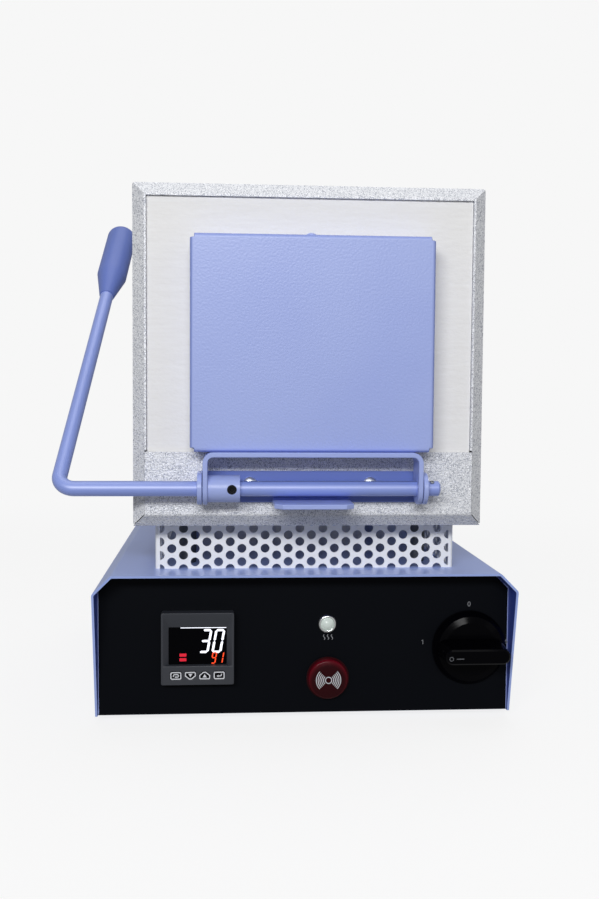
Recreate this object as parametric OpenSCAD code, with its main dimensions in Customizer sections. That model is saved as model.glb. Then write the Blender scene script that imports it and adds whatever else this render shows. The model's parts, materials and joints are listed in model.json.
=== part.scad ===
// Dental lab burnout furnace: a lined chamber with a drop door, on a control base.
// The chamber casing stands on a perforated air plinth over the base.
// Lengths are millimetres. X runs left to right as the operator sees it,
// Y runs from the operator to the back, Z is up. The origin is on the bench,
// under the middle of the four feet.

/* [Base] */
// Width over the hood
base_w = 280; // [266:1:300]
// Height from the hood's bottom edge to its top
base_h = 98; // [96:1:110]
// Depth from the front panel to the back
base_d = 330; // [320:1:360]
// How far the hood's top front edge stands out over the panel
hood_overhang = 20.6; // [8:0.1:24]
// Size of the slanted corners of the hood
hood_chamfer = 12.5; // [8:0.5:16]
// Height of the rubber feet
foot_h = 5; // [3:0.5:8]

/* [Plinth] */
// Width of the perforated plinth
plinth_w = 201; // [190:1:204]
// Height of the plinth between hood and casing
plinth_h = 32; // [28:1:40]
// Diameter of a perforation
hole_d = 6; // [4:0.5:7]
// Distance between neighbouring perforations
hole_pitch = 9; // [8.5:0.1:11]

/* [Casing] */
// Width of the furnace casing
casing_w = 226; // [222:1:240]
// Height of the furnace casing
casing_h = 218; // [214:1:230]
// Depth of the furnace casing
casing_d = 325; // [315:1:330]
// Size of the slanted edges round the casing's front
casing_chamfer = 7.8; // [6:0.1:9]
// Height of the painted strip under the front board, from the casing's bottom
strip_h = 48.3; // [46:0.1:48.5]

/* [Chamber] */
// Width of the chamber and its opening
chamber_w = 124; // [116:1:126]
// Height of the chamber and its opening
chamber_h = 106; // [100:1:110]
// Depth of the chamber behind the front board
chamber_d = 200; // [160:1:200]
// Heating coils in each side wall
coils_per_side = 4; // [3:1:4]

/* [Door] */
// Width of the door
door_w = 152; // [146:1:156]
// Height of the door
door_h = 134; // [128:1:138]
// Depth of the door's folded pan
door_pan_d = 18; // [14:0.5:19]
// How far the door's insulation reaches into the opening
door_plug_d = 11; // [6:0.5:12]

/* [Hinge and lever] */
// Diameter of the lever rod, which is also the hinge shaft
rod_d = 9.5; // [8:0.1:9.8]
// Outer width of the door's hinge bracket
bracket_w = 137; // [130:1:138]
// Thickness of the bracket and the hinge plate
flat_t = 3; // [2.5:0.1:3]
// Lean of the lever from upright, towards the back
lever_lean = 48; // [40:1:50]
// Length of the lever from its bend to the tip of the grip
lever_l = 276; // [220:1:290]
// Diameter of the grip
grip_d = 22; // [18:0.5:24]

/* [Controls] */
// Width and height of the temperature controller
controller_size = 48; // [48:1:50]
// Diameter of the selector knob
knob_d = 50; // [40:1:50]
// Diameter of the buzzer's lens
buzzer_d = 28.6; // [26:0.1:30]
// Travel of the controller keys
key_travel = 0.8; // [0.5:0.1:1]

/* [Hidden] */
$fn = 48;

blue = "#8f9edb";
lever_blue = "#7088d0";
hammered = "#c4c8cf";
white_paint = "#e9eaec";
fibre = "#eeede8";
black = "#15161a";
steel = "#b9bcc0";
zinc = "#d9dbde";

sheet_t = 1.5;
casing_t = 1.2;
bend_steps = 6;
gap = 0.3;
panel_y = -base_d / 2;

// Base: the tray fits inside the hood, and its front carries the panel overlay
overlay_t = 0.5;
overlay_edge = 0.8;
tray_inset = sheet_t + 0.2;
foot_x = base_w / 2 - 35;
foot_y = [30, base_d - 30];
hood_bend = 2.5;
rake = hood_overhang / base_h;
side_screw_y = [45, base_d - 30];
side_screw_z = 8;

// Plinth: staggered holes, every second column half a pitch higher
plinth_y = 6;
plinth_d = 284;
plinth_t = 1.2;
plinth_return = 6;
column_step = hole_pitch * sqrt(3) / 2;
column_inset = 3.1;
post_x = 80;
post_y = [plinth_y + 28, plinth_y + plinth_d - 28];
post_d = 12;

// Casing: its front edges are slanted, with a narrow lip round the front board
casing_z = base_h + plinth_h;
casing_top = casing_z + casing_h;
casing_y = -25.3;
casing_back = casing_y + casing_d;
casing_bend = 2;
lip_t = 1.2;
lip_d = 9;
rear_flange = 14;
strip_gap = 0.15;
mitre_gap = 0.8;
strip_top = casing_z + strip_h;
frame_in_x = casing_w / 2 - casing_chamfer;
frame_in_z = casing_top - casing_chamfer;

// Lining: front board, chamber slabs, backing slabs and rear plug
chamber_z = casing_z + 116.5;
chamber_z0 = chamber_z - chamber_h / 2;
chamber_z1 = chamber_z + chamber_h / 2;
board_y0 = -23;
board_y1 = 7;
chamber_back = board_y1 + chamber_d;
slab_t = 20;
lining_x = casing_w / 2 - casing_t - 0.3;
lining_z0 = casing_z + casing_t + 0.3;
lining_z1 = casing_top - casing_t - 0.3;
rear_y = casing_back - 4;
coil_d = 8;
coil_inset = 1.5;
coil_step = chamber_h / coils_per_side;
hearth_t = 6;
couple_x = 0;
couple_z = chamber_z + 22;
couple_d = 6;
couple_tip = 28;
tail_d = 3;
cover_w = chamber_w + 30;
cover_h = chamber_h;
cover_d = 26;
cover_z = chamber_z;

// Hinge: the shaft's axis, in front of the painted strip and under the door
axis_y = -40;
axis_z = casing_z + 26.4;
hinge_x = 0.5;
bar_w = 20;
running = 0.05;
bracket_top = axis_z + 23;
bracket_bend = 5;
ear_gap = 0.5;
plate_y = casing_y;
plate_h = 20;
hinge_screw_x = 38.4;
hinge_screw_z = axis_z + 1.8;
tongue_w = 49;
tongue_z = axis_z - 8;
bracket_screw_x = 36.5;
bracket_screw_y = axis_y + 1.5;
hub_d = 17;
hub_l = 20;
set_screw_at = 5;
// Inward tilt of the lever: sides of 237, 3116 and 3125 give a sine and cosine that are short decimals
lever_tilt = atan(237 / 3116);
rod_end_x = 81;
rod_bend_x = -157.7;
rod_bend_r = 10;
grip_l = 81;
grip_neck_l = 25;
grip_neck_d = 11;
grip_round = 6;
grip_bore = 12;
pin_x = 75.8;
pin_d = 2.5;
pin_tilt = 57;

// Door: the pan hangs over the opening, its bottom flange on the bracket
door_z0 = bracket_top;
door_z1 = door_z0 + door_h;
door_y = -45;
pan_y = door_y + door_pan_d;
plug_clear = 3;

// Controls, measured from the middle of the base and its bottom edge
controller_x = -72;
controller_z = 47;
controller_proud = 8.5;
controller_body = 44.6;
controller_depth = 78;
window_w = 38.2;
window_h = 24.8;
window_up = 1.5;
window_y = -5.5;
key_x = [-14.2, -4.7, 4.7, 14.2];
key_down_by = 17.6;
key_w = 7.4;
key_h = 5.2;
key_proud = 0.4;
key_l = 3;
key_clear = 0.15;
key_kind = [0, -1, 1, 0];
pilot_x = 14.5;
pilot_z = 61.4;
pilot_d = 12.6;
buzzer_x = 15;
buzzer_z = 24.6;
buzzer_body_d = 22;
knob_x = 111;
knob_z = 44.5;
knob_skirt_h = 7;
knob_proud = 29;
knob_grip_w = 43;
knob_grip_t = 10;
knob_root_t = 15;
shaft_d = 6;
bush_d = 9.5;
bush_l = 6;

// Unit vector along v
function unit(v) = v / norm(v);
// v turned a quarter turn to the left
function left_of(v) = [-v[1], v[0]];
// v turned by angle a
function turned(v, a) = [v[0] * cos(a) - v[1] * sin(a), v[0] * sin(a) + v[1] * cos(a)];
// Signed angle from direction u to direction w
function turn_between(u, w) = atan2(u[0] * w[1] - u[1] * w[0], u * w);
// Stations of the arc of radius r that rounds the corner b between a and c
function corner_arc(a, b, c, r) =
  let (
    u = unit(b - a),
    turn = turn_between(u, unit(c - b)),
    side = sign(turn),
    start = b - u * r * tan(abs(turn) / 2),
    centre = start + left_of(u) * side * r
  )
  [for (i = [0:bend_steps]) let (n = turned(left_of(u), turn * i / bend_steps)) [centre - n * side * r, n]];
// Stations of a folded sheet's middle line p: a point and its normal at each
function fold_stations(p, r) = concat(
  [[p[0], left_of(unit(p[1] - p[0]))]],
  [for (i = [1:len(p) - 2]) each corner_arc(p[i - 1], p[i], p[i + 1], r)],
  [[p[len(p) - 1], left_of(unit(p[len(p) - 1] - p[len(p) - 2]))]]
);

// Section of a sheet of thickness t folded along the middle line p
module folded(p, t, r) {
  s = fold_stations(p, r);
  n = len(s);
  polygon(concat(
    [for (k = s) k[0] + k[1] * t / 2],
    [for (i = [n - 1:-1:0]) s[i][0] - s[i][1] * t / 2]
  ));
}

// Moves a child from the front panel's bottom edge to the bench frame
module at_panel() {
  translate([0, panel_y, foot_h]) children();
}

// Extrudes an outline drawn in Y and Z from x0 to x1
module along_x(x0, x1) {
  translate([x0, 0, 0]) rotate([90, 0, 90]) linear_extrude(x1 - x0) children();
}

// Extrudes an outline drawn in X and Z from y0 to y1
module along_y(y0, y1) {
  translate([0, y1, 0]) rotate([90, 0, 0]) linear_extrude(y1 - y0) children();
}

// Extrudes an outline drawn in X and Y from z0 to z1
module along_z(z0, z1) {
  translate([0, 0, z0]) linear_extrude(z1 - z0) children();
}

// Turns a profile about an axis along Y: radius first, then depth into the object
module round_along_y(x, y, z) {
  translate([x, y, z]) rotate([-90, 0, 0]) rotate_extrude() children();
}

// Cylinder along Y
module rod_y(x, y0, y1, z, d) {
  translate([x, y0, z]) rotate([-90, 0, 0]) cylinder(h = y1 - y0, d = d);
}

// Cylinder along X
module rod_x(x0, x1, y, z, d) {
  translate([x0, y, z]) rotate([0, 90, 0]) cylinder(h = x1 - x0, d = d);
}

// Block between two corners
module block(a, b) {
  translate(a) cube(b - a);
}

// Rectangle with round corners, centred
module rounded(w, h, r) {
  square([w - 2 * r, h], center = true);
  square([w, h - 2 * r], center = true);
  for (x = [-1, 1], y = [-1, 1]) translate([x * (w / 2 - r), y * (h / 2 - r)]) circle(r);
}

// Slot with round ends, centred, its length across
module slot(l, d) {
  square([l - d, d], center = true);
  for (x = [-1, 1]) translate([x * (l - d) / 2, 0]) circle(d = d);
}

// Pan-head profile standing on the plane at zero, with its shank below it
module pan_head(head_d, head_h, shank_d, shank_l) {
  crown = head_h * 0.55;
  side = head_h - crown;
  r = (head_d * head_d / 4 + crown * crown) / (2 * crown);
  span = asin(head_d / 2 / r);
  polygon(concat(
    [[0, -shank_l], [shank_d / 2, -shank_l], [shank_d / 2, 0], [head_d / 2, 0]],
    [for (i = [0:6]) r * [sin(span * (1 - i / 6)), cos(span * (1 - i / 6))] + [0, side + crown - r]]
  ));
}

// Pan-head screw, its head pointing up from the plane at zero
module pan_screw(head_d, head_h, shank_d, shank_l) {
  rotate_extrude() pan_head(head_d, head_h, shank_d, shank_l);
}

// Front view of the space inside the hood, drawn in by e from its outer face
module hood_inside(e) {
  x = base_w / 2 - e;
  z = base_h - e;
  cut = hood_chamfer - e * (2 - sqrt(2));
  polygon([[-x, 0], [x, 0], [x, z - cut], [x - cut, z], [cut - x, z], [-x, z - cut]]);
}

module base_hood() {
  x = base_w / 2 - sheet_t / 2;
  z = base_h - sheet_t / 2;
  cut = hood_chamfer - sheet_t / 2 * (2 - sqrt(2));
  color(blue) at_panel() difference() {
    along_y(-hood_overhang, base_d)
      folded([[-x, 0], [-x, z - cut], [cut - x, z], [x - cut, z], [x, z - cut], [x, 0]], sheet_t, hood_bend);
    // The side walls' front edges rake back from the overhang to the panel's foot
    along_x(-base_w, base_w)
      polygon([[rake, -1], [-rake * (base_h + 1), base_h + 1], [-base_w, base_h + 1], [-base_w, -1]]);
    // Cooling slots in the back half of both side walls
    along_x(-base_w, base_w)
      for (i = [0:8]) translate([base_d - 70 - i * 12, base_h * 0.45]) rotate(90) slot(36, 4);
    for (y = side_screw_y) rod_x(-base_w, base_w, y, side_screw_z, 4.4);
    for (x = [-post_x, post_x], y = post_y) translate([x, y, base_h - 5]) cylinder(h = 10, d = 5.4);
    // Wire passages to the chamber, inside the plinth
    for (x = [-30, 30]) translate([x, post_y[1] - 20, base_h - 5]) cylinder(h = 10, d = 14);
  }
}

module base_tray() {
  y0 = overlay_t + sheet_t / 2;
  y1 = base_d - sheet_t / 2;
  z1 = base_h - tray_inset;
  x = base_w / 2 - tray_inset;
  color(blue) at_panel() difference() {
    union() {
      intersection() {
        along_x(-x, x) folded([[y0, z1], [y0, sheet_t / 2], [y1, sheet_t / 2], [y1, z1]], sheet_t, 2);
        along_y(0, base_d) hood_inside(tray_inset);
      }
      // Side flanges that the hood's screws bite into
      for (s = [-1, 1])
        block([s > 0 ? x - sheet_t : -x, 6, 0], [s > 0 ? x : sheet_t - x, base_d - 6, 16]);
    }
    along_y(-1, 5) panel_cutouts();
    for (y = side_screw_y) rod_x(-base_w, base_w, y, side_screw_z, 3.4);
    for (x = [-foot_x, foot_x], y = foot_y) translate([x, y, -1]) cylinder(h = 5, d = 4.2);
    // Back wall: gland, fuse and two rows of cooling slots
    rod_y(-100, base_d - 5, base_d + 5, 28, 16.2);
    rod_y(-65, base_d - 5, base_d + 5, 28, 12.7);
    along_y(base_d - 5, base_d + 5)
      for (i = [0:9], z = [30, 62]) translate([-8 + i * 12, z]) rotate(90) slot(24, 4);
    // Air inlet slots in the bottom
    along_z(-1, 5)
      for (i = [0:10]) translate([-60 + i * 12, base_d * 0.62]) rotate(90) slot(50, 4);
  }
}

// Openings in the front panel for the four controls
module panel_cutouts() {
  translate([controller_x, controller_z]) square(controller_body + 0.4, center = true);
  translate([pilot_x, pilot_z]) circle(d = 10.2);
  translate([buzzer_x, buzzer_z]) circle(d = buzzer_body_d + 0.3);
  translate([knob_x, knob_z]) circle(d = bush_d + 0.3);
}

module panel_overlay() {
  e = tray_inset + overlay_edge;
  color(black) at_panel() along_y(0, overlay_t) difference() {
    intersection() {
      hood_inside(e);
      translate([-base_w, 1]) square([2 * base_w, base_h]);
    }
    panel_cutouts();
  }
}

module rubber_feet() {
  color(black) at_panel() for (x = [-foot_x, foot_x], y = foot_y)
    translate([x, y, -foot_h]) difference() {
      cylinder(h = foot_h, d1 = 18, d2 = 22);
      translate([0, 0, -1]) cylinder(h = foot_h - 1.5, d = 9);
      cylinder(h = foot_h + 1, d = 4.2);
    }
}

module foot_screws() {
  color(zinc) at_panel() for (x = [-foot_x, foot_x], y = foot_y)
    translate([x, y, 0]) rotate([180, 0, 0]) translate([0, 0, 2.5])
      pan_screw(7.6, 1.9, 4, 8.5);
}

// Pan-head screws of the hood, the rear sheet and the terminal cover
module housing_screws() {
  color(zinc) at_panel() {
    for (s = [-1, 1], y = side_screw_y)
      translate([s * base_w / 2, y, side_screw_z]) rotate([0, s * 90, 0]) pan_screw(7.6, 2.2, 3.4, 6);
    rear_screw_places()
      translate([0, casing_back, 0]) rotate([-90, 0, 0]) pan_screw(7.6, 2.2, 3.4, 3.5);
    cover_screw_places()
      translate([0, casing_back + sheet_t, 0]) rotate([-90, 0, 0]) pan_screw(7.6, 2.2, 3.4, 5);
  }
}

module cable_gland() {
  color(black) at_panel() translate([-100, base_d, 28]) rotate([-90, 0, 0]) difference() {
    union() {
      translate([0, 0, -9]) cylinder(h = 9, d = 16);
      translate([0, 0, -6]) cylinder(h = 4.5, d = 24, $fn = 6);
      cylinder(h = 6, d = 24, $fn = 6);
      translate([0, 0, 6]) rotate_extrude()
        polygon([[0, 0], [9.5, 0], [9.5, 7], [7.5, 12], [6, 13], [0, 13]]);
    }
    translate([0, 0, -10]) cylinder(h = 40, d = 8.5);
  }
}

module fuse_holder() {
  color(black) at_panel() translate([-65, base_d, 28]) rotate([-90, 0, 0]) {
    translate([0, 0, -34]) cylinder(h = 34, d = 12.5);
    cylinder(h = 2.5, d = 17);
    difference() {
      translate([0, 0, 2.5]) cylinder(h = 9, d = 13);
      translate([-1, -8, 10]) cube([2, 16, 3]);
    }
  }
}

// Solid-state relay bolted to a finned aluminium block on the tray
module power_relay() {
  color(steel) at_panel() translate([60, 215, sheet_t]) {
    translate([-35, -25, 0]) cube([70, 50, 6]);
    for (i = [0:8]) translate([-35 + i * 8.4, -25, 6]) cube([2.2, 50, 18]);
    translate([-35, -25, 24]) cube([70, 50, 3]);
    translate([-22, -28, 27]) cube([44, 56, 23]);
  }
}

module terminal_strip() {
  color(white_paint) at_panel() translate([-60, 215, sheet_t]) {
    translate([-40, -8, 0]) cube([80, 16, 10]);
    for (i = [0:7]) difference() {
      translate([-39 + i * 10, -6, 10]) cube([8, 12, 6]);
      translate([-35 + i * 10, 0, 10]) cylinder(h = 7, d = 4);
    }
  }
}

// Staggered perforations over a strip w wide, shifted so that column 0 starts at x0
module perforations(x0, w) {
  span = w - 2 * column_inset;
  columns = round(span / column_step);
  for (k = [0:columns], row = [0:4])
    translate([x0 + column_inset + k * span / columns, (row + (k % 2) / 2) * hole_pitch])
      circle(d = hole_d, $fn = 24);
}

// Front or rear strip of the plinth, its ends folded back; the end holes are cut by the folds
module plinth_strip() {
  x = plinth_w / 2;
  difference() {
    along_z(base_h, casing_z)
      folded([[plinth_t / 2 - x, plinth_return], [plinth_t / 2 - x, plinth_t / 2],
        [x - plinth_t / 2, plinth_t / 2], [x - plinth_t / 2, plinth_return]], plinth_t, 1.2);
    translate([0, 0, base_h]) along_y(-1, plinth_t + 1) intersection() {
      perforations(-x, plinth_w);
      translate([column_inset - x, -hole_pitch]) square([2 * (x - column_inset), 6 * hole_pitch]);
    }
  }
}

module plinth_front() {
  color(white_paint) at_panel() translate([0, plinth_y, 0]) plinth_strip();
}

module plinth_rear() {
  color(white_paint) at_panel() translate([0, plinth_y + plinth_d, 0]) rotate(180) plinth_strip();
}

// Side strip, lapped inside the folded ends of the front and rear strips
module plinth_side(s) {
  x = plinth_w / 2 - plinth_t - 0.1;
  l = plinth_d - 2 * plinth_t - 0.4;
  at_panel() translate([s > 0 ? x - plinth_t : -x, plinth_y + plinth_t + 0.2, base_h])
    along_x(0, plinth_t) difference() {
      square([l, plinth_h]);
      intersection() {
        perforations(0, l);
        translate([plinth_return + 3, -hole_pitch]) square([l - 2 * plinth_return - 6, 6 * hole_pitch]);
      }
    }
}

module plinth_left() {
  color(white_paint) plinth_side(-1);
}

module plinth_right() {
  color(white_paint) plinth_side(1);
}

module standoff_posts() {
  color(zinc) at_panel() for (x = [-post_x, post_x], y = post_y)
    translate([x, y, base_h]) difference() {
      cylinder(h = plinth_h, d = post_d);
      translate([0, 0, -1]) cylinder(h = plinth_h + 2, d = 5.2);
    }
}

module post_bolts() {
  color(zinc) at_panel() for (x = [-post_x, post_x], y = post_y)
    translate([x, y, base_h - sheet_t]) {
      translate([0, 0, -3.6]) cylinder(h = 3.6, d = 9.2, $fn = 6);
      cylinder(h = plinth_h + sheet_t + casing_t, d = 5);
    }
}

// Front view of the casing, drawn in by e: its two top corners are bends
module casing_outline(e) {
  x = casing_w / 2 - e;
  r = casing_bend - e;
  z = casing_top - e;
  translate([-x, casing_z + e]) square([2 * x, z - r - casing_z - e]);
  translate([r - x, casing_z + e]) square([2 * (x - r), z - casing_z - e]);
  for (s = [-1, 1]) translate([s * (x - r), z - r]) circle(r);
}

// Solid with the casing's outer form, drawn in by e: slanted round its front edge
module casing_form(e) {
  x = casing_w / 2 - e;
  z0 = casing_z + e;
  z1 = casing_top - e;
  cut = casing_chamfer + e * (sqrt(2) - 1);
  front = casing_y - e;
  intersection() {
    along_z(z0, z1) polygon([[-x, casing_back + e], [-x, front + cut + e], [cut - x, front],
      [x - cut, front], [x, front + cut + e], [x, casing_back + e]]);
    along_x(-x, x) polygon([[casing_back + e, z0], [front + cut + e, z0], [front, z0 + cut],
      [front, z1 - cut], [front + cut + e, z1], [casing_back + e, z1]]);
    along_y(front - 1, casing_back + e + 1) casing_outline(e);
  }
}

// Front view of the bottom sheet's face, widened by e beside the strip and by m at the mitres under it
module strip_face(e, m) {
  x0 = casing_w / 2 + m;
  x1 = frame_in_x + m;
  x2 = frame_in_x + e;
  z0 = casing_z;
  z1 = casing_z + casing_chamfer;
  z2 = strip_top + e;
  polygon([[-x0, z0], [-x1, z1], [-x2, z1], [-x2, z2], [x2, z2], [x2, z1], [x1, z1], [x0, z0]]);
}

module casing_wrap() {
  color(hammered) at_panel() union() {
    difference() {
      casing_form(0);
      casing_form(casing_t);
      // The wide front opening, inside the slanted edges
      block([-frame_in_x, casing_y - 1, casing_z - 1], [frame_in_x, casing_y + casing_t + 1, frame_in_z]);
      // Room for the bottom sheet, with an open mitre at the two lower corners
      along_y(casing_y - 1, casing_y + casing_chamfer + 0.8) strip_face(strip_gap, mitre_gap);
      block([-casing_w, casing_y - 1, casing_z - 1], [casing_w, casing_back + 1, casing_z + casing_t + 0.1]);
    }
    // Flange folded in at the back, which the rear sheet is screwed to
    difference() {
      y = casing_back - sheet_t;
      x = casing_w / 2 - casing_t;
      z = casing_top - casing_t;
      block([-x, y - casing_t, casing_z + casing_t + 0.5], [x, y, z]);
      block([rear_flange - x, y - casing_t - 1, casing_z], [x - rear_flange, y + 1, z - rear_flange]);
      rear_screw_places() rod_y(0, y - 5, y + 5, 0, 3.4);
    }
    // Lip folded back round the front board
    for (s = [-1, 1])
      block([s > 0 ? frame_in_x - lip_t : -frame_in_x, casing_y, strip_top + 1],
        [s > 0 ? frame_in_x : lip_t - frame_in_x, casing_y + lip_d, frame_in_z]);
    block([-frame_in_x, casing_y, frame_in_z - lip_t], [frame_in_x, casing_y + lip_d, frame_in_z]);
  }
}

// Bottom sheet: folded up at the front into the slanted edge and the painted strip
module casing_bottom() {
  t = casing_t / 2;
  cut = casing_chamfer - t * (2 - sqrt(2));
  color(hammered) at_panel() difference() {
    intersection() {
      along_x(-casing_w / 2, casing_w / 2)
        folded([[casing_back, casing_z + t], [casing_y + t + cut, casing_z + t],
          [casing_y + t, casing_z + t + cut], [casing_y + t, strip_top]], casing_t, 1.6);
      along_y(casing_y - 1, casing_back + 1) strip_face(0, 0);
    }
    for (x = [-post_x, post_x], y = post_y) translate([x, y, casing_z - 1]) cylinder(h = 4, d = 5);
    for (x = [-hinge_screw_x, hinge_screw_x]) rod_y(x, casing_y - 1, casing_y + 4, hinge_screw_z, 4.2);
    for (x = [-30, 30]) translate([x, post_y[1] - 20, casing_z - 1]) cylinder(h = 4, d = 14);
  }
}

// Places its child at each screw of the rear sheet
module rear_screw_places() {
  for (x = [-1, 1], z = [casing_z + 9, casing_top - 9]) translate([x * (casing_w / 2 - 8), 0, z]) children();
}

// Places its child at each screw of the terminal cover
module cover_screw_places() {
  for (x = [-1, 1], z = [-1, 1])
    translate([x * (cover_w / 2 + 6), 0, cover_z + z * (cover_h / 2 - 10)]) children();
}

module casing_rear() {
  e = casing_t + 0.2;
  color(hammered) at_panel() difference() {
    along_y(casing_back - sheet_t, casing_back)
      translate([0, (casing_z + casing_top) / 2])
        square([casing_w - 2 * e, casing_h - 2 * e - 0.6], center = true);
    rod_y(couple_x, casing_back - 5, casing_back + 5, couple_z, couple_d + 2);
    heater_tail_places() rod_y(0, casing_back - 5, casing_back + 5, 0, tail_d + 5);
    rear_screw_places() rod_y(0, casing_back - 5, casing_back + 5, 0, 3.4);
    cover_screw_places() rod_y(0, casing_back - 5, casing_back + 5, 0, 3.4);
    // Vent slots under the top edge
    along_y(casing_back - 5, casing_back + 5)
      for (i = [-5:5]) translate([i * 12, casing_top - 30]) rotate(90) slot(20, 4);
  }
}

// Places its child at each heater tail: two of the coils on each side
module heater_tail_places() {
  for (s = [-1, 1], k = [0, coils_per_side - 1])
    translate([s * (chamber_w / 2 + coil_inset), 0, chamber_z0 + (k + 0.5) * coil_step]) children();
}

// Folded cover over the connections at the back, slotted for air
module terminal_cover() {
  y = casing_back;
  w = cover_w / 2;
  h = cover_h / 2;
  color(hammered) at_panel() translate([0, 0, cover_z]) difference() {
    union() {
      block([-w, y, -h], [w, y + cover_d, h]);
      block([-w - 12, y, -h], [w + 12, y + sheet_t, h]);
    }
    block([-w + casing_t, y - 1, -h + casing_t], [w - casing_t, y + cover_d - casing_t, h - casing_t]);
    translate([0, 0, -cover_z]) cover_screw_places() rod_y(0, y - 1, y + 5, 0, 4.2);
    along_y(y + cover_d - 5, y + cover_d + 5)
      for (i = [-4:4]) translate([i * 12, -24]) rotate(90) slot(26, 4);
  }
}

// White ceramic-fibre board round the chamber's mouth
module front_board() {
  x = frame_in_x - lip_t - 0.2;
  color(fibre) at_panel() difference() {
    block([-x, board_y0, casing_z + casing_chamfer + 2], [x, board_y1, frame_in_z - lip_t - 0.2]);
    block([-chamber_w / 2, board_y0 - 1, chamber_z0], [chamber_w / 2, board_y1 + 1, chamber_z1]);
    // Pockets round the nuts of the hinge screws
    for (x = [-hinge_screw_x, hinge_screw_x]) rod_y(x, board_y0 - 1, board_y0 + 5, hinge_screw_z, 11);
  }
}

module chamber_floor() {
  x = chamber_w / 2 + slab_t;
  color(fibre) at_panel() block([-x, board_y1, chamber_z0 - slab_t], [x, chamber_back, chamber_z0]);
}

module chamber_roof() {
  x = chamber_w / 2 + slab_t;
  color(fibre) at_panel() block([-x, board_y1, chamber_z1], [x, chamber_back, chamber_z1 + slab_t]);
}

// Side tile of the chamber, with an open round groove for each heating coil
module heater_tile(s) {
  x = chamber_w / 2;
  at_panel() difference() {
    block([s > 0 ? x : -x - slab_t, board_y1, chamber_z0],
      [s > 0 ? x + slab_t : -x, chamber_back, chamber_z1]);
    for (k = [0:coils_per_side - 1])
      rod_y(s * (x + coil_inset), board_y1 + 6, chamber_back + 1, chamber_z0 + (k + 0.5) * coil_step, coil_d);
  }
}

module heater_tile_left() {
  color(fibre) heater_tile(-1);
}

module heater_tile_right() {
  color(fibre) heater_tile(1);
}

// Heating coils as plain rods of their outer size, with the tails that carry the current
module heating_coils() {
  color(steel) at_panel() {
    for (s = [-1, 1], k = [0:coils_per_side - 1])
      rod_y(s * (chamber_w / 2 + coil_inset), board_y1 + 6, chamber_back,
        chamber_z0 + (k + 0.5) * coil_step, coil_d);
    heater_tail_places() rod_y(0, chamber_back, casing_back + 8, 0, tail_d);
  }
}

module hearth_tile() {
  x = chamber_w / 2 - 3;
  color("#e6dcc8") at_panel() along_z(chamber_z0, chamber_z0 + hearth_t)
    translate([0, (board_y0 + door_plug_d + chamber_back) / 2 + 1])
      rounded(2 * x, chamber_back - board_y0 - door_plug_d - 8, 3);
}

module rear_insulation() {
  color(fibre) at_panel() difference() {
    block([-lining_x, chamber_back, lining_z0], [lining_x, rear_y, lining_z1]);
    rod_y(couple_x, chamber_back - 1, rear_y + 1, couple_z, couple_d + 0.2);
    heater_tail_places() rod_y(0, chamber_back - 1, rear_y + 1, 0, tail_d);
  }
}

// Backing slabs at both sides of the chamber
module side_insulation() {
  x = chamber_w / 2 + slab_t;
  color(fibre) at_panel() for (s = [-1, 1])
    block([s > 0 ? x : -lining_x, board_y1, lining_z0], [s > 0 ? lining_x : -x, chamber_back, lining_z1]);
}

module top_insulation() {
  x = chamber_w / 2 + slab_t;
  color(fibre) at_panel() block([-x, board_y1, chamber_z1 + slab_t], [x, chamber_back, lining_z1]);
}

module bottom_insulation() {
  x = chamber_w / 2 + slab_t;
  color(fibre) at_panel() block([-x, board_y1, lining_z0], [x, chamber_back, chamber_z0 - slab_t]);
}

// Ceramic sheath with a connection block behind the rear sheet
module thermocouple() {
  color("#e9e4d8") at_panel() {
    translate([couple_x, chamber_back - couple_tip, couple_z]) sphere(d = couple_d);
    rod_y(couple_x, chamber_back - couple_tip, casing_back + 4, couple_z, couple_d);
    block([couple_x - 14, casing_back + 4, couple_z - 8], [couple_x + 14, casing_back + 16, couple_z + 8]);
  }
}

module heater_terminals() {
  color(white_paint) at_panel() heater_tail_places() difference() {
    rod_y(0, casing_back + 0.2, casing_back + 14, 0, 12);
    rod_y(0, casing_back - 1, casing_back + 8, 0, tail_d);
    rod_y(0, casing_back + 10, casing_back + 15, 0, 6);
  }
}

// Fixed hinge plate: folded ears carry the shaft, and a tongue stops the open door
module hinge_plate() {
  half = bracket_w / 2 + ear_gap + flat_t;
  z0 = axis_z - plate_h / 2;
  front = axis_y - bar_w / 2;
  mid = flat_t / 2;
  tip = axis_y - (bracket_top - flat_t - axis_z) + gap;
  color(blue) at_panel() translate([hinge_x, 0, 0]) difference() {
    union() {
      intersection() {
        along_z(z0, z0 + plate_h)
          folded([[mid - half, front], [mid - half, plate_y - mid],
            [half - mid, plate_y - mid], [half - mid, front]], flat_t, 3);
        // The ears end in a half round about the shaft
        along_x(-half, half) {
          translate([axis_y, axis_z]) circle(d = bar_w);
          translate([axis_y, z0]) square([plate_y - axis_y, plate_h]);
        }
      }
      intersection() {
        along_x(-tongue_w / 2, tongue_w / 2)
          folded([[plate_y - mid, axis_z], [plate_y - mid, tongue_z - mid],
            [tip, tongue_z - mid]], flat_t, 3);
        along_z(tongue_z - 10, axis_z)
          polygon([[-tongue_w / 2, plate_y], [-tongue_w / 2, tip + 5], [5 - tongue_w / 2, tip],
            [tongue_w / 2 - 5, tip], [tongue_w / 2, tip + 5], [tongue_w / 2, plate_y]]);
      }
    }
    rod_x(-half - 1, half + 1, axis_y, axis_z, rod_d + 2 * running);
    for (x = [-hinge_screw_x, hinge_screw_x])
      rod_y(x - hinge_x, plate_y - 5, plate_y + 1, hinge_screw_z, 4.4);
  }
}

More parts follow.
